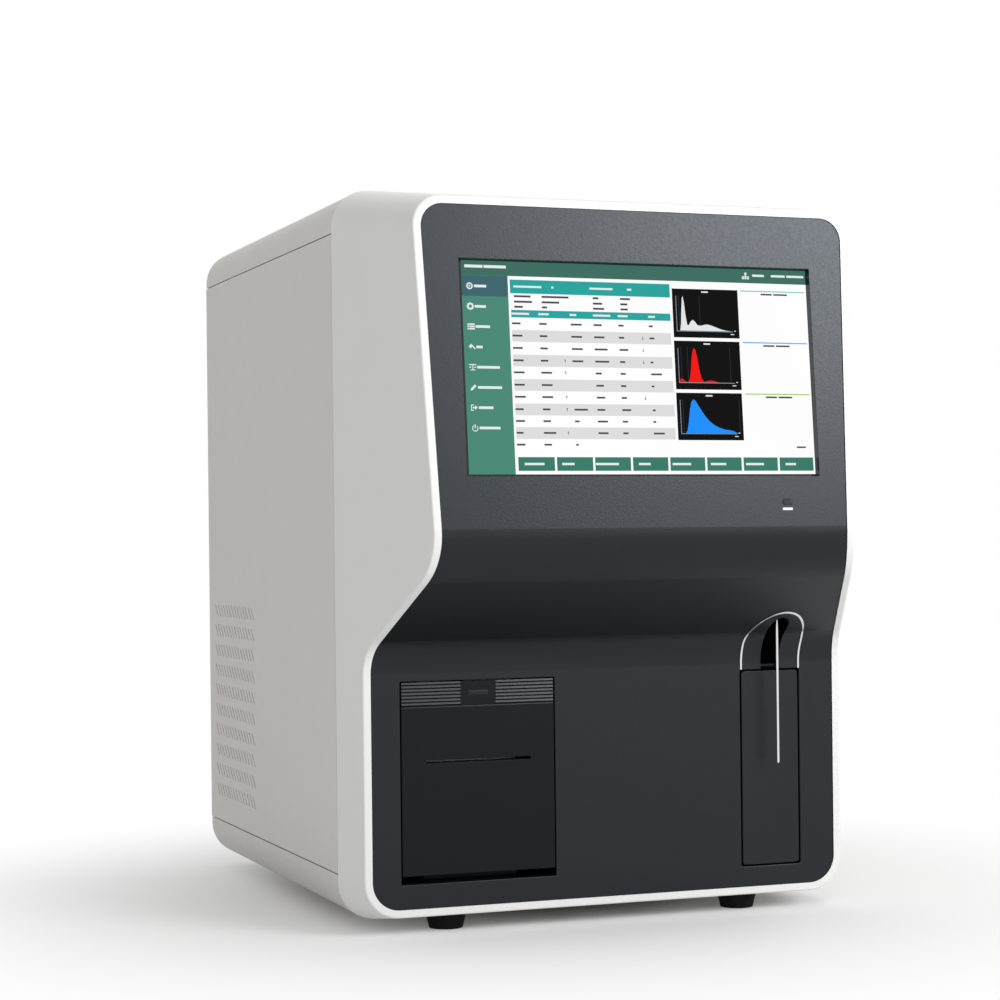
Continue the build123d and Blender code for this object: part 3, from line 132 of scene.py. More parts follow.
def surface(name, colour, rough, metallic=0.0, specular=0.5, grain=0.0, grain_size=0.8,
            vary=0.04, cloud=30.0, coat=0.0, sheen=(1.0, 1.0, 1.0), edge=0.0):
    """Paint, plastic or metal: broad tone changes, uneven gloss, a fine grain and soft edges."""
    material, tree, shader = new_material(name)
    broad = object_noise(tree, cloud, 3.0)
    dark = tuple(c * (1 - vary) for c in colour)
    pale = tuple(min(1.0, c * (1 + vary)) for c in colour)
    tree.links.new(spread(tree, broad.outputs["Fac"], dark, pale), shader.inputs["Base Color"])
    gloss = object_noise(tree, cloud * 4, 2.0)
    uneven = spread(tree, gloss.outputs["Fac"], rough * 0.93, rough * 1.07)
    tree.links.new(uneven, shader.inputs["Roughness"])
    shader.inputs["Metallic"].default_value = metallic
    shader.inputs["Specular IOR Level"].default_value = specular
    shader.inputs["Specular Tint"].default_value = (*sheen, 1)
    shader.inputs["Coat Weight"].default_value = coat
    shader.inputs["Coat Roughness"].default_value = COAT_ROUGHNESS
    if grain:
        fine = object_noise(tree, 1000.0 / grain_size, 2.0, 0.6)
        bump = add(tree, "ShaderNodeBump")
        bump.inputs["Strength"].default_value = grain
        bump.inputs["Distance"].default_value = GRAIN_DEPTH
        tree.links.new(fine.outputs["Fac"], bump.inputs["Height"])
        tree.links.new(bump.outputs["Normal"], shader.inputs["Normal"])
        if edge:
            soft = add(tree, "ShaderNodeBevel")
            soft.inputs["Radius"].default_value = edge
            tree.links.new(soft.outputs["Normal"], bump.inputs["Normal"])
    return material


def brushed(name, colour, rough):
    """Metal with fine drawn or ground lines."""
    material, tree, shader = new_material(name)
    where = add(tree, "ShaderNodeTexCoord")
    stretch = add(tree, "ShaderNodeMapping")
    stretch.inputs["Scale"].default_value = BRUSHED_SCALE
    noise = add(tree, "ShaderNodeTexNoise")
    noise.inputs["Scale"].default_value = 1800
    noise.inputs["Detail"].default_value = 2.0
    tree.links.new(where.outputs["Object"], stretch.inputs["Vector"])
    tree.links.new(stretch.outputs["Vector"], noise.inputs["Vector"])
    dark = tuple(c * 0.9 for c in colour)
    tree.links.new(spread(tree, noise.outputs["Fac"], dark, colour), shader.inputs["Base Color"])
    uneven = spread(tree, noise.outputs["Fac"], rough * 0.8, rough * 1.2)
    tree.links.new(uneven, shader.inputs["Roughness"])
    shader.inputs["Metallic"].default_value = 1.0
    return material


def clear(name, colour, rough, weight):
    """Clear or tinted moulded plastic and glass with faint unevenness."""
    material, tree, shader = new_material(name)
    noise = object_noise(tree, 60.0, 2.0)
    dark = tuple(c * 0.95 for c in colour)
    tree.links.new(spread(tree, noise.outputs["Fac"], dark, colour), shader.inputs["Base Color"])
    uneven = spread(tree, noise.outputs["Fac"], rough * 0.8, rough * 1.2)
    tree.links.new(uneven, shader.inputs["Roughness"])
    shader.inputs["Transmission Weight"].default_value = weight
    shader.inputs["IOR"].default_value = 1.49
    return material


def lit(name, colour):
    """A colour shown by the display: it glows at its own tone, behind an anti-glare film."""
    material, tree, shader = new_material(name)
    noise = object_noise(tree, 14.0, 1.0)
    dark = tuple(c * 0.97 for c in colour)
    tone = spread(tree, noise.outputs["Fac"], dark, colour)
    tree.links.new(tone, shader.inputs["Emission Color"])
    shader.inputs["Base Color"].default_value = (0.002, 0.002, 0.002, 1)
    shader.inputs["Emission Strength"].default_value = 1.0
    shader.inputs["Roughness"].default_value = 0.7
    shader.inputs["Specular IOR Level"].default_value = 0.02
    return material


def srgb(text):
    """Linear colour from a six-figure hexadecimal one."""
    parts = [int(text[i:i + 2], 16) / 255 for i in (0, 2, 4)]
    return tuple(p / 12.92 if p <= 0.04045 else ((p + 0.055) / 1.055) ** 2.4 for p in parts)


MATERIALS = {
    "housing_plastic": surface("housing_plastic", (0.80, 0.80, 0.79), 0.40, vary=0.006, grain=0.10,
                               grain_size=0.5),
    "fascia_plastic": surface("fascia_plastic", (0.0030, 0.0038, 0.0046), 0.33, specular=0.39,
                              grain=1.0, grain_size=1.1, vary=0.10, cloud=120.0,
                              sheen=(0.84, 0.91, 1.0), edge=0.5 * MM),
    "case_paint": surface("case_paint", (0.66, 0.635, 0.60), 0.42, vary=0.008, grain=0.25,
                          grain_size=0.6),
    "rubber": surface("rubber", (0.0045, 0.0047, 0.0045), 0.75, vary=0.2, grain=0.4, specular=0.15),
    "steel": brushed("steel", (0.56, 0.56, 0.57), 0.38),
    "bright_steel": surface("bright_steel", (0.78, 0.78, 0.79), 0.16, metallic=1.0, vary=0.03,
                            cloud=90.0),
    "display_glass": surface("display_glass", (0.004, 0.004, 0.005), 0.08, vary=0.1),
    "display_case": surface("display_case", (0.03, 0.03, 0.033), 0.5, vary=0.05, grain=0.2),
    "clear_plastic": clear("clear_plastic", (0.03, 0.035, 0.03), 0.12, 0.5),
    "printer_plastic": surface("printer_plastic", (0.0022, 0.0030, 0.0038), 0.38, specular=0.19,
                               grain=0.4, grain_size=0.7, vary=0.10, cloud=120.0,
                               sheen=(0.84, 0.91, 1.0), edge=0.5 * MM),
    "thermal_paper": surface("thermal_paper", (0.86, 0.86, 0.84), 0.7, vary=0.02, grain=0.3),
    "gear_plastic": surface("gear_plastic", (0.80, 0.79, 0.72), 0.35, vary=0.03),
    "aluminium": brushed("aluminium", (0.70, 0.70, 0.71), 0.33),
    "motor_case": surface("motor_case", (0.014, 0.014, 0.014), 0.48, vary=0.08, grain=0.3),
    "acrylic": clear("acrylic", (0.86, 0.90, 0.92), 0.06, 0.9),
    "glass_barrel": clear("glass_barrel", (0.93, 0.96, 0.97), 0.03, 0.97),
    "board": surface("board", (0.010, 0.10, 0.030), 0.28, vary=0.15, cloud=200.0, coat=0.3),
    "white_plastic": surface("white_plastic", (0.74, 0.74, 0.71), 0.42, vary=0.02, grain=0.1),
    "brass": brushed("brass", (0.72, 0.53, 0.24), 0.30),
}


def dress_nodes():
    """Each CAD node takes the finish of its slot."""
    for part in frame["record"]["subparts"]:
        mesh = nodes[part["node"]].data
        finish = MATERIALS[part["material_slot"]]
        mesh.materials.clear()
        mesh.materials.append(finish)


# Pieces
def new_piece(name, vertices, faces, material, slot, body="casing"):
    mesh = bpy.data.meshes.new(name)
    mesh.from_pydata([tuple(v) for v in vertices], [], faces)
    mesh.materials.append(material)
    mesh.update()
    piece = bpy.data.objects.new(name, mesh)
    bpy.context.scene.collection.objects.link(piece)
    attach(piece, body)
    return piece


# Display picture, in millimetres on the glass from the top left of the opening
LEAN = math.radians(5.08)
SCREEN_W, SCREEN_H = 223.6, 125.4
SCREEN_SLOPE = Vector((0, math.sin(LEAN), math.cos(LEAN)))
SCREEN_OUT = Vector((0, -math.cos(LEAN), math.sin(LEAN)))
SCREEN_MIDDLE = (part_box("touch_glass")[0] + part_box("touch_glass")[1]) / 2
GLASS_HALF = 0.9               # half the thickness of the glass
GLASS_FRONT = SCREEN_MIDDLE + SCREEN_OUT * GLASS_HALF * MM
PRINT_OUT = 0.05               # lowest layer of the picture in front of the glass
LAYER_STEP = 0.04
RING_STEPS = 16
FASCIA_OUT = 5.95              # fascia face in front of the middle of the glass
LAMP_BELOW_SCREEN = 15.6
LAMP_MARK_DROP = 4.0
LAMP_MARK = (6.6, 1.5)


def on_glass(x, y, layer):
    across = Vector((x - SCREEN_W / 2, 0, 0))
    up = SCREEN_SLOPE * (SCREEN_H / 2 - y)
    return GLASS_FRONT + (across + up + SCREEN_OUT * (PRINT_OUT + LAYER_STEP * layer)) * MM


class Field:
    """All the shapes of one colour on the display, gathered into one piece."""

    def __init__(self, name, colour, layer):
        self.name = name
        self.colour = colour
        self.layer = layer
        self.vertices = []
        self.faces = []

    def shape(self, points):
        start = len(self.vertices)
        self.vertices += [on_glass(x, y, self.layer) for x, y in points]
        self.faces.append(list(range(start, start + len(points)))[::-1])

    def box(self, x0, y0, x1, y1):
        self.shape([(x0, y0), (x1, y0), (x1, y1), (x0, y1)])

    def disc(self, x, y, radius, steps):
        turn = 2 * math.pi / steps
        self.shape([(x + radius * math.cos(i * turn), y + radius * math.sin(i * turn))
                    for i in range(steps)])

    def ring(self, x, y, radius, width, gap=0):
        """A ring, or with a gap, one that is open for so many steps at its top."""
        turn = 2 * math.pi / RING_STEPS
        first = round(-RING_STEPS / 4 + gap / 2)
        for i in range(first, first + RING_STEPS - gap):
            corners = []
            inner = radius - width
            for r, a in ((radius, i), (radius, i + 1), (inner, i + 1), (inner, i)):
                corners.append((x + r * math.cos(a * turn), y + r * math.sin(a * turn)))
            self.shape(corners)

    def words(self, x0, x1, y, height, gap):
        """A line of print shown as a plain bar, or as two bars with a gap."""
        middle = x0 + (x1 - x0) * 0.45
        if gap:
            self.box(x0, y - height / 2, middle - gap / 2, y + height / 2)
            self.box(middle + gap / 2, y - height / 2, x1, y + height / 2)
        else:
            self.box(x0, y - height / 2, x1, y + height / 2)

    def build(self):
        new_piece(self.name, self.vertices, self.faces, lit(self.name, self.colour),
                  slot="display_glass")


PX = 1 / 6                     # the layout below is counted in sixths of a millimetre
TABLE_ROWS = [217, 260, 303, 346, 388, 431, 473, 516, 557, 598, 639]
MENU_ROWS = [90, 161, 231, 302, 372, 442, 512, 582]
CHARTS = [(808, 79, 1066, 254), (807, 266, 1064, 440), (806, 452, 1063, 621)]
CHART_BASES = [230, 415, 597]
RANGE_LINES = [(831, 102, 229), (912, 102, 229), (831, 290, 414), (856, 290, 414), (1022, 290, 414),
               (829, 476, 596), (1049, 476, 596)]
MENU_ENDS = (108, 104, 116, 86, 146, 151, 116, 139)
BUTTON_WORDS = ((23, 96), (19, 65), (2, 89), (22, 67), (8, 80), (14, 74), (9, 80), (23, 65))


def make_display():
    header = Field("screen_header", srgb("3F6F62"), 0)
    menu = Field("screen_menu", srgb("4B8A78"), 0)
    panel = Field("screen_panel", (1.0, 1.0, 1.0), 0)
    chosen = Field("screen_menu_chosen", srgb("3F6770"), 1)
    teal = Field("screen_teal", srgb("2AA5A0"), 1)
    stripe = Field("screen_stripes", srgb("DEDEDF"), 1)
    black = Field("screen_charts", (0.003, 0.003, 0.003), 1)
    button = Field("screen_buttons", srgb("3B7C6B"), 1)
    ink = Field("screen_ink", srgb("4A4A4C"), 2)
    white = Field("screen_white", (0.80, 0.86, 0.85), 2)
    axis = Field("screen_axes", srgb("8FA6B8"), 2)
    scale = Field("screen_scales", srgb("2A2E33"), 2)
    pale_curve = Field("screen_curve_white", (0.80, 0.80, 0.80), 3)
    red_curve = Field("screen_curve_red", srgb("F51414"), 3)
    blue_curve = Field("screen_curve_blue", srgb("1E90FF"), 3)
    lines = [
        Field("screen_line_cyan", srgb("6CCBD6"), 1),
        Field("screen_line_blue", srgb("4AA8F5"), 1),
        Field("screen_line_green", srgb("9AD15A"), 1),
    ]

    def box(field, x0, y0, x1, y1):
        field.box(x0 * PX, y0 * PX, x1 * PX, y1 * PX)

    def words(field, x0, x1, y, height, gap=0.0):
        field.words(x0 * PX, x1 * PX, y * PX, height * PX, gap * PX)

    right = SCREEN_W / PX
    box(header, 18, 1, right, 52)
    box(menu, 18, 52, 188, 742)
    box(panel, 188, 52, right, 742)
    box(chosen, 18, 53, 187, 125)
    words(white, 31, 183, 21, 10, 4)
    box(white, 1097, 14, 1106, 22)
    box(white, 1099, 22, 1103, 27)
    box(white, 1087, 27, 1115, 30)
    for x in (1087, 1097, 1107):
        box(white, x, 31, x + 8, 38)
    words(white, 1128, 1175, 24, 8)
    words(white, 1203, 1334, 24, 8, 6)

    for row, (y, end) in enumerate(zip(MENU_ROWS, MENU_ENDS)):
        words(white, 63, end, y, 9)
        menu_icon(white, 47 * PX, y * PX, row)

    box(teal, 195, 64, 800, 112)
    box(teal, 196, 170, 798, 196)
    for x0, x1 in ((208, 312), (349, 357), (492, 580), (635, 652)):
        words(white, x0, x1, 88, 7)
    info = ((208, 270, 311, 412), (208, 275, 311, 376), (208, 240, 311, 330))
    people = ((503, 525, 607, 645), (503, 538, 607, 634), (503, 545, 607, 635))
    for y, left, side in zip((122, 141, 159), info, people):
        for spans in (left, side):
            words(ink, spans[0], spans[1], y, 7)
            words(ink, spans[2], spans[3], y, 7)
    for x0, x1 in ((197, 262), (296, 335), (413, 438), (501, 567), (595, 633), (712, 738)):
        words(white, x0, x1, 183, 7)
    table_print(ink, stripe, box, words)

    for chart, base in zip(CHARTS, CHART_BASES):
        x0, y0, x1, y1 = chart
        box(black, x0, y0, x1, y1)
        words(white, x0 + 115, x0 + 141, y0 + 10, 5)
        box(axis, x0 + 12, base, x1 - 26, base + 2)
        box(axis, x0 + 13, y0 + 26, x0 + 15, base)
        words(white, x1 - 35, x1 - 21, base + 10, 3)
        words(white, x1 - 20, x1 - 14, base - 2, 3)
    for x, top, low in RANGE_LINES:
        box(scale, x, top, x + 2.5, low)
    for field, points in zip((pale_curve, red_curve, blue_curve), curves()):
        base = points[0][1]
        for (xa, ya), (xb, yb) in zip(points, points[1:]):
            field.shape([(xa * PX, ya * PX), (xb * PX, yb * PX), (xb * PX, base * PX),
                         (xa * PX, base * PX)])

    for line, y in zip(lines, (81, 268, 454)):
        box(line, 1077, y - 2, 1334, y + 2)
        words(ink, 1158, 1264, y + 11, 6, 6)
    words(ink, 1272, 1308, 645, 6)
    for step, (x0, x1) in enumerate(BUTTON_WORDS):
        start = 199 + 143 * step
        box(button, start, 682, start + 135, 730)
        words(white, start + x0, start + x1, 706, 8)
    for field in (header, menu, panel, chosen, teal, stripe, black, button, ink, white, axis, scale,
                  pale_curve, red_curve, blue_curve, *lines):
        field.build()


def table_print(ink, stripe, box, words):
    """The table's banded rows and the plain bars that stand for its entries."""
    # Where the bars of each column end, row by row. None is an empty place
    left_ends = (229, 234, 233, 235, 236, 235, 237, 227, 230, 223, 228)
    middle_ends = (533, 541, 551, 555, 525, 531, 534, 532, 540, 540, None)
    unit_ends = (457, 457, 457, 457, None, None, None, 466, 433, None, 426)
    far_ends = (728, 732, None, 724, 755, 724, None, 724, 724, 755, None)
    columns = ((502, middle_ends), (416, unit_ends), (713, far_ends))
    arrows_left = (3, 4, 6, 7, 9)
    arrows_right = (1, 2, 3, 6)
    tall = 6.5
    for row, y in enumerate(TABLE_ROWS):
        if row % 2:
            box(stripe, 196, y - 20, 797, y + 21)
        words(ink, 197, left_ends[row], y, tall)
        words(ink, 298, 326 + 12 * (row in (4, 5, 6)) + 18 * (row == 9), y, tall)
        for start, ends in columns:
            if ends[row]:
                words(ink, start, ends[row], y, tall)
        if middle_ends[row]:
            words(ink, 596, 616 + 14 * (row in (2, 7)), y, tall)
        if row in arrows_left:
            box(ink, 388, y - 6, 390, y + 6)
            box(ink, 386, y - 4, 392, y - 2)
        if row in arrows_right:
            box(ink, 686, y - 6, 688, y + 6)
            box(ink, 684, y + 2, 690, y + 4)


def menu_icon(white, x, y, row):
    """A plain sign in front of each menu entry."""
    if row in (0, 1):
        white.ring(x, y, 2.0, 0.8 if row == 0 else 1.0)
        if row == 0:
            white.shape([(x - 0.5, y - 0.8), (x + 0.8, y), (x - 0.5, y + 0.8)])
        else:
            for step in range(8):
                a = step * math.pi / 4
                white.disc(x + 1.9 * math.cos(a), y + 1.9 * math.sin(a), 0.42, 6)
    elif row == 2:
        for line in range(3):
            low = y - 1.7 + line * 1.3
            white.box(x - 2.2, low, x - 1.3, low + 0.9)
            white.box(x - 1.1, low, x + 2.2, low + 0.9)
    elif row == 3:
        white.shape([(x - 2.0, y - 0.3), (x - 0.5, y - 1.8), (x + 0.7, y - 0.6),
                     (x - 0.8, y + 0.9)])
        white.shape([(x + 0.2, y - 0.2), (x + 0.7, y - 0.7), (x + 2.2, y + 1.0),
                     (x + 1.7, y + 1.5)])
    elif row == 4:
        white.box(x - 2.2, y - 1.7, x + 2.2, y - 1.1)
        white.box(x - 0.25, y - 1.1, x + 0.25, y + 1.4)
        white.box(x - 1.5, y + 1.4, x + 1.5, y + 1.9)
        white.box(x - 2.1, y - 0.2, x - 0.9, y + 0.4)
        white.box(x + 0.9, y - 0.2, x + 2.1, y + 0.4)
    elif row == 5:
        white.shape([(x - 1.9, y + 1.9), (x - 1.6, y + 0.7), (x + 0.8, y - 1.7), (x + 1.8, y - 0.7),
                     (x - 0.6, y + 1.6)])
    elif row == 6:
        white.box(x - 2.0, y - 1.8, x - 0.4, y - 1.3)
        white.box(x - 2.0, y - 1.3, x - 1.5, y + 1.3)
        white.box(x - 2.0, y + 1.3, x - 0.4, y + 1.8)
        white.box(x - 1.0, y - 0.5, x + 0.5, y + 0.5)
        white.shape([(x + 0.5, y - 1.3), (x + 2.0, y), (x + 0.5, y + 1.3)])
    else:
        white.ring(x, y + 0.2, 1.9, 0.5, gap=3)
        white.box(x - 0.3, y - 2.1, x + 0.3, y + 0.2)


def curves():
    """The three filled curves of the charts, in the layout's counts, from the base line."""
    pale = [(834, 229), (838, 205), (842, 150), (846, 110), (849, 106), (853, 130), (857, 175),
            (862, 208), (868, 210), (875, 197), (884, 190), (893, 197), (902, 209), (915, 211),
            (930, 207), (942, 206), (958, 210), (975, 216), (995, 223), (1015, 227), (1036, 229)]
    red = [(820, 414), (826, 404), (832, 401), (838, 405), (846, 412), (856, 413), (862, 403),
           (867, 375), (873, 325), (879, 297), (884, 291), (889, 299), (895, 330), (902, 375),
           (909, 403), (918, 412), (932, 409), (945, 407), (960, 410), (976, 414)]
    blue = [(838, 596), (844, 585), (850, 555), (857, 510), (864, 483), (872, 475), (880, 481),
            (890, 497), (902, 516), (915, 535), (930, 552), (948, 566), (968, 576), (990, 583),
            (1010, 585), (1026, 589), (1040, 596)]
    return pale, red, blue


# Mark on the fascia
def on_fascia(x, up, out):
    """A point in front of the upper fascia, across and up from the middle of the screen."""
    across = Vector((x, 0, 0))
    return SCREEN_MIDDLE + (across + SCREEN_SLOPE * up + SCREEN_OUT * out) * MM


def make_lamp_mark():
    """The pale mark under the power lamp, where the maker prints a word."""
    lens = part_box("power_lamp_lens")
    middle = (lens[0].x + lens[1].x) / 2 / MM
    low = -SCREEN_H / 2 - LAMP_BELOW_SCREEN - LAMP_MARK_DROP
    half_wide, half_tall = LAMP_MARK[0] / 2, LAMP_MARK[1] / 2
    points = [on_fascia(middle + side * half_wide, low + up * half_tall, FASCIA_OUT)
              for side, up in CORNER_SIGNS]
    print_white = surface("print_white", (0.78, 0.78, 0.78), 0.5, vary=0.03)
    new_piece("lamp_mark", points, [(0, 1, 2, 3)], print_white, slot="fascia_plastic")


# Grip ribs and push bar on the printer door: sections as (behind the face, up) in millimetres
RIB_COUNT = 7
RIB_BAND = 14.2
RIB_RECESS = 0.5
RIB_FIRST = 0.75               # middle of the top rib below the top of the door
RIB_END_GAP = 0.4
PUSH_PLATE = 22.1
RIB_SECTION = ((0.85, 0.75), (0.0, 0.75), (-0.10, 0.36), (-0.31, -0.40), (-0.15, -0.60),
               (0.85, -0.60))
EDGE_ROUND = 1.1
EDGE_PROUD = 0.05
EDGE_TURNS = (57, 42, 27, 12, 0)   # degrees round the edge, from its top to its front
EDGE_FRONT = 0.1
EDGE_BACK = 0.9
EDGE_FOOT = -0.15
EDGE_RISE = 0.1                # top of the edge above the foot of the ribs
PUSH_BAR = (12.4, 3.2)
PUSH_BAR_RISE = 0.3
PUSH_BAR_SLOPE = 0.6


def prism(x0, x1, section, face_y, z):
    """A bar along X between two ends, as vertices and faces."""
    count = len(section)
    vertices = [Vector((x, face_y + back, z + up)) * MM for x in (x0, x1) for back, up in section]
    faces = [(i, (i + 1) % count, count + (i + 1) % count, count + i) for i in range(count)]
    faces += [tuple(range(count))[::-1], tuple(range(count, 2 * count))]
    return vertices, faces


def join(shapes):
    """Several shapes, each as vertices and faces, counted on as one."""
    vertices, faces = [], []
    for more_vertices, more_faces in shapes:
        start = len(vertices)
        vertices += more_vertices
        faces += [tuple(start + i for i in face) for face in more_faces]
    return vertices, faces


def make_door_detail():
    low, high = (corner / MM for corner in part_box("printer_door"))
    face, top = low.y, high.z
    middle = (low.x + high.x) / 2
    recess = face + RIB_RECESS
    finish = surface("rubbed_plastic", (0.0022, 0.0030, 0.0038), 0.34, specular=0.36, grain=0.2,
                     vary=0.10, cloud=120.0, sheen=(0.84, 0.91, 1.0), edge=0.2 * MM)
    ribs = []
    for row in range(RIB_COUNT):
        z = top - RIB_FIRST - row * RIB_BAND / RIB_COUNT
        ribs.append(prism(low.x + RIB_END_GAP, middle - PUSH_PLATE / 2, RIB_SECTION, recess, z))
        ribs.append(prism(middle + PUSH_PLATE / 2, high.x - RIB_END_GAP, RIB_SECTION, recess, z))
    new_piece("grip_ribs", *join(ribs), finish, body="door", slot="printer_plastic")

    arc = [(EDGE_ROUND * (1 - math.cos(a)) - EDGE_PROUD, EDGE_ROUND * math.sin(a))
           for a in (math.radians(degrees) for degrees in EDGE_TURNS)]
    section = [(EDGE_BACK, arc[0][1]), *arc, (EDGE_FRONT, EDGE_FOOT), (EDGE_BACK, EDGE_FOOT)]
    z = top - RIB_BAND + EDGE_RISE - arc[0][1]
    edge = prism(low.x + RIB_END_GAP, high.x - RIB_END_GAP, section, face, z)
    new_piece("grip_edge", *edge, finish, body="door", slot="printer_plastic")

    half_wide, half_tall = PUSH_BAR[0] / 2, PUSH_BAR[1] / 2
    z = top - RIB_BAND / 2
    vertices = []
    for inset, out in ((0, 0), (PUSH_BAR_SLOPE, PUSH_BAR_RISE)):
        for side, up in CORNER_SIGNS:
            x = middle + side * (half_wide - inset)
            vertices.append(Vector((x, recess - out, z + up * (half_tall - inset))) * MM)
    faces = [(0, 1, 5, 4), (1, 2, 6, 5), (2, 3, 7, 6), (3, 0, 4, 7), (4, 5, 6, 7)]
    new_piece("push_bar", vertices, faces, finish, body="door", slot="printer_plastic")


# Left side panel with its vents, in millimetres
VENT_ROWS, VENT_COLUMNS = 10, 14
VENT_ROW_PITCH, VENT_COLUMN_PITCH = 14.05, 7.8
VENT_LOW_Z = 58.0              # middle of the lowest row
VENT_REAR_Y = 175.9            # middle of the rearmost column
VENT_LENGTH, VENT_WIDTH = 11.6, 1.25
PANEL_SKIN, PANEL_FLANGE, PANEL_ROUND = 1.5, 9.0, 1.4
FLANGE_REAR_GAP = 4.5
ROUND_STEPS = 5


def vent_slits():
    """Corners of every slit in the panel's plane, as (Y, Z), slanted by half a right angle."""
    along = Vector((1, 1)).normalized()
    across = Vector((-1, 1)).normalized()
    slits = []
    for row in range(VENT_ROWS):
        z = VENT_LOW_Z + row * VENT_ROW_PITCH
        for column in range(VENT_COLUMNS):
            middle = Vector((VENT_REAR_Y - column * VENT_COLUMN_PITCH, z))
            slits.append([middle + along * VENT_LENGTH / 2 * a + across * VENT_WIDTH / 2 * b
                          for a, b in CORNER_SIGNS])
    return slits


def make_vented_panel():
    """The left side panel with slits at the photograph's slant, spacing and height."""
    low, high = (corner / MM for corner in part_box("left_side_panel"))

    def outline(inset):
        y0, y1, z0, z1 = low.y + inset, high.y - inset, low.z + inset, high.z - inset
        return [Vector((y0, z0)), Vector((y1, z0)), Vector((y1, z1)), Vector((y0, z1))]

    def at(depth, points):
        return [Vector((low.x + depth, point.x, point.y)) * MM for point in points]

    def between(ring, following):
        return [(ring[i], ring[(i + 1) % 4], following[(i + 1) % 4], following[i])
                for i in range(4)]

    slits = vent_slits()
    corners = [corner for slit in slits for corner in slit]
    front = outline(PANEL_ROUND) + corners
    back = outline(0) + corners
    vertices = at(0, front) + at(PANEL_SKIN, back)
    half = len(front)
    faces = [tuple(t) for t in tessellate_polygon([outline(PANEL_ROUND)] + slits)]
    faces += [tuple(half + i for i in t) for t in tessellate_polygon([outline(0)] + slits)]
    for slit in range(len(slits)):
        first = 4 + 4 * slit
        for i in range(4):
            a, b = first + i, first + (i + 1) % 4
            faces.append((a, b, half + b, half + a))

    ring = list(range(4))
    for step in range(1, ROUND_STEPS + 1):
        turn = math.pi / 2 * step / ROUND_STEPS
        depth, inset = PANEL_ROUND * (1 - math.cos(turn)), PANEL_ROUND * (1 - math.sin(turn))
        start = len(vertices)
        vertices += at(depth, outline(inset))
        following = list(range(start, start + 4))
        faces += between(ring, following)
        ring = following
    faces += between(ring, list(range(half, half + 4)))

    piece = new_piece("vented_left_panel", vertices, faces, MATERIALS["case_paint"],
                      slot="case_paint")
    shape = bmesh.new()
    shape.from_mesh(piece.data)
    bmesh.ops.remove_doubles(shape, verts=shape.verts, dist=0.001 * MM)
    bmesh.ops.recalc_face_normals(shape, faces=shape.faces)
    inner_y, inner_z = (low.y, high.y - FLANGE_REAR_GAP), (low.z, high.z)
    flanges = (
        (inner_y, (low.z, low.z + PANEL_SKIN)),
        (inner_y, (high.z - PANEL_SKIN, high.z)),
        ((low.y, low.y + PANEL_SKIN), inner_z),
    )
    for (y0, y1), (z0, z1) in flanges:
        depth = PANEL_FLANGE - PANEL_SKIN
        size = Matrix.Diagonal((depth * MM, (y1 - y0) * MM, (z1 - z0) * MM, 1))
        centre = Vector((low.x + PANEL_SKIN + depth / 2, (y0 + y1) / 2, (z0 + z1) / 2)) * MM
        bmesh.ops.create_cube(shape, size=1.0, matrix=Matrix.Translation(centre) @ size)
    shape.to_mesh(piece.data)
    shape.free()
    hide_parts("left_side_panel")


# Floor, backdrop and lights, in metres and watts
FLOOR_HALF = 12.0
FLOOR_FADE = (0.05, 0.50)      # the shadow on the floor fades to white over this distance
WORLD_LEVEL = 0.40
LAMPS = (                      # name, place, aimed at, width, height, power
    ("key_box", (1.22, -1.90, 1.15), (0, -0.15, 0.36), 1.05, 0.80, 32),
    ("left_box", (-2.4, -0.2, 1.3), (0, 0, 0.2), 1.4, 1.4, 2.5),
    ("front_box", (-0.7, -2.3, 1.3), (0, -0.2, 0.25), 1.2, 1.0, 9),
    ("top_box", (0.70, -0.30, 2.2), (-0.08, -0.15, 0.14), 1.3, 0.30, 8),
)


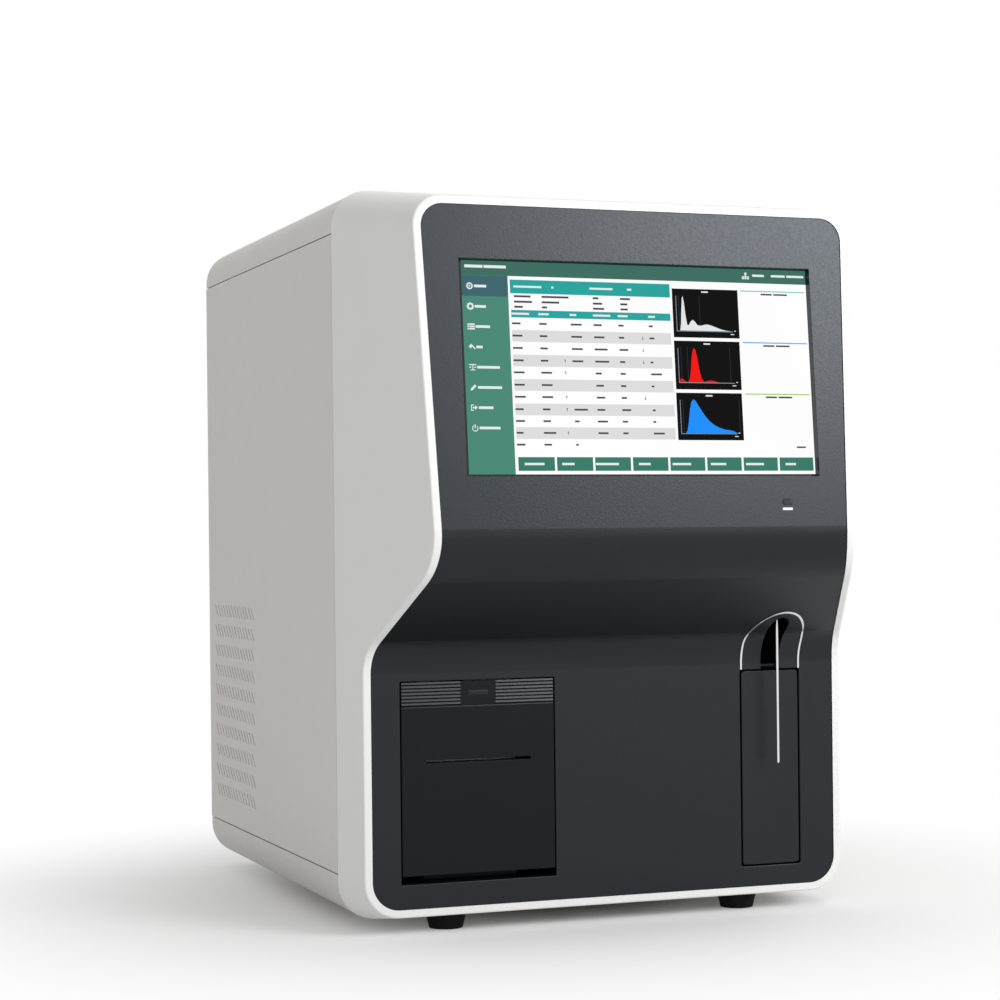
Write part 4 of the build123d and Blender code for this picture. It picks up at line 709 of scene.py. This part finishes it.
def make_floor():
    mesh = bpy.data.meshes.new("floor")
    corners = [(x * FLOOR_HALF, y * FLOOR_HALF, 0) for x, y in CORNER_SIGNS]
    mesh.from_pydata(corners, [], [(0, 1, 2, 3)])
    floor = bpy.data.objects.new("floor", mesh)
    bpy.context.scene.collection.objects.link(floor)
    material, tree, shader = new_material("floor")
    shader.inputs["Base Color"].default_value = (0.86, 0.86, 0.86, 1)
    shader.inputs["Roughness"].default_value = 0.9
    shader.inputs["Specular IOR Level"].default_value = 0.1
    where = add(tree, "ShaderNodeTexCoord")
    size = add(tree, "ShaderNodeVectorMath", operation="LENGTH")
    tree.links.new(where.outputs["Object"], size.inputs[0])
    fade = add(tree, "ShaderNodeMapRange")
    fade.inputs["From Min"].default_value = FLOOR_FADE[0]
    fade.inputs["From Max"].default_value = FLOOR_FADE[1]
    fade.interpolation_type = "SMOOTHSTEP"
    tree.links.new(size.outputs["Value"], fade.inputs["Value"])
    seen = seen_directly(tree)
    both = add(tree, "ShaderNodeMath", operation="MULTIPLY")
    tree.links.new(fade.outputs["Result"], both.inputs[0])
    tree.links.new(seen, both.inputs[1])
    glow = add(tree, "ShaderNodeEmission")
    mix = add(tree, "ShaderNodeMixShader")
    tree.links.new(both.outputs["Value"], mix.inputs["Fac"])
    tree.links.new(shader.outputs["BSDF"], mix.inputs[1])
    tree.links.new(glow.outputs["Emission"], mix.inputs[2])
    tree.links.new(mix.outputs["Shader"], tree.nodes["Material Output"].inputs["Surface"])
    mesh.materials.append(material)


def seen_directly(tree):
    """1 for rays from the camera, from a shiny surface or through a clear one."""
    path = add(tree, "ShaderNodeLightPath")
    first = add(tree, "ShaderNodeMath", operation="ADD")
    tree.links.new(path.outputs["Is Camera Ray"], first.inputs[0])
    tree.links.new(path.outputs["Is Glossy Ray"], first.inputs[1])
    second = add(tree, "ShaderNodeMath", operation="ADD", use_clamp=True)
    tree.links.new(first.outputs["Value"], second.inputs[0])
    tree.links.new(path.outputs["Is Transmission Ray"], second.inputs[1])
    return second.outputs["Value"]


def make_world():
    world = bpy.data.worlds.new("studio")
    bpy.context.scene.world = world
    world.use_nodes = True
    tree = world.node_tree
    back = tree.nodes["Background"]
    back.inputs["Color"].default_value = (1, 1, 1, 1)
    level = add(tree, "ShaderNodeMapRange")
    level.inputs["To Min"].default_value = WORLD_LEVEL
    level.inputs["To Max"].default_value = 1.0
    tree.links.new(seen_directly(tree), level.inputs["Value"])
    tree.links.new(level.outputs["Result"], back.inputs["Strength"])


def softbox(name, at, target, width, height, power):
    data = bpy.data.lights.new(name, "AREA")
    data.shape = "RECTANGLE"
    data.size = width
    data.size_y = height
    data.energy = power
    lamp = bpy.data.objects.new(name, data)
    bpy.context.scene.collection.objects.link(lamp)
    lamp.location = at
    lamp.rotation_euler = (Vector(target) - Vector(at)).to_track_quat("-Z", "Y").to_euler()


make_camera()
dress_nodes()
make_display()
make_lamp_mark()
make_door_detail()
make_vented_panel()
make_floor()
make_world()
for lamp in LAMPS:
    softbox(*lamp)

bpy.context.scene.view_settings.view_transform = "Standard"
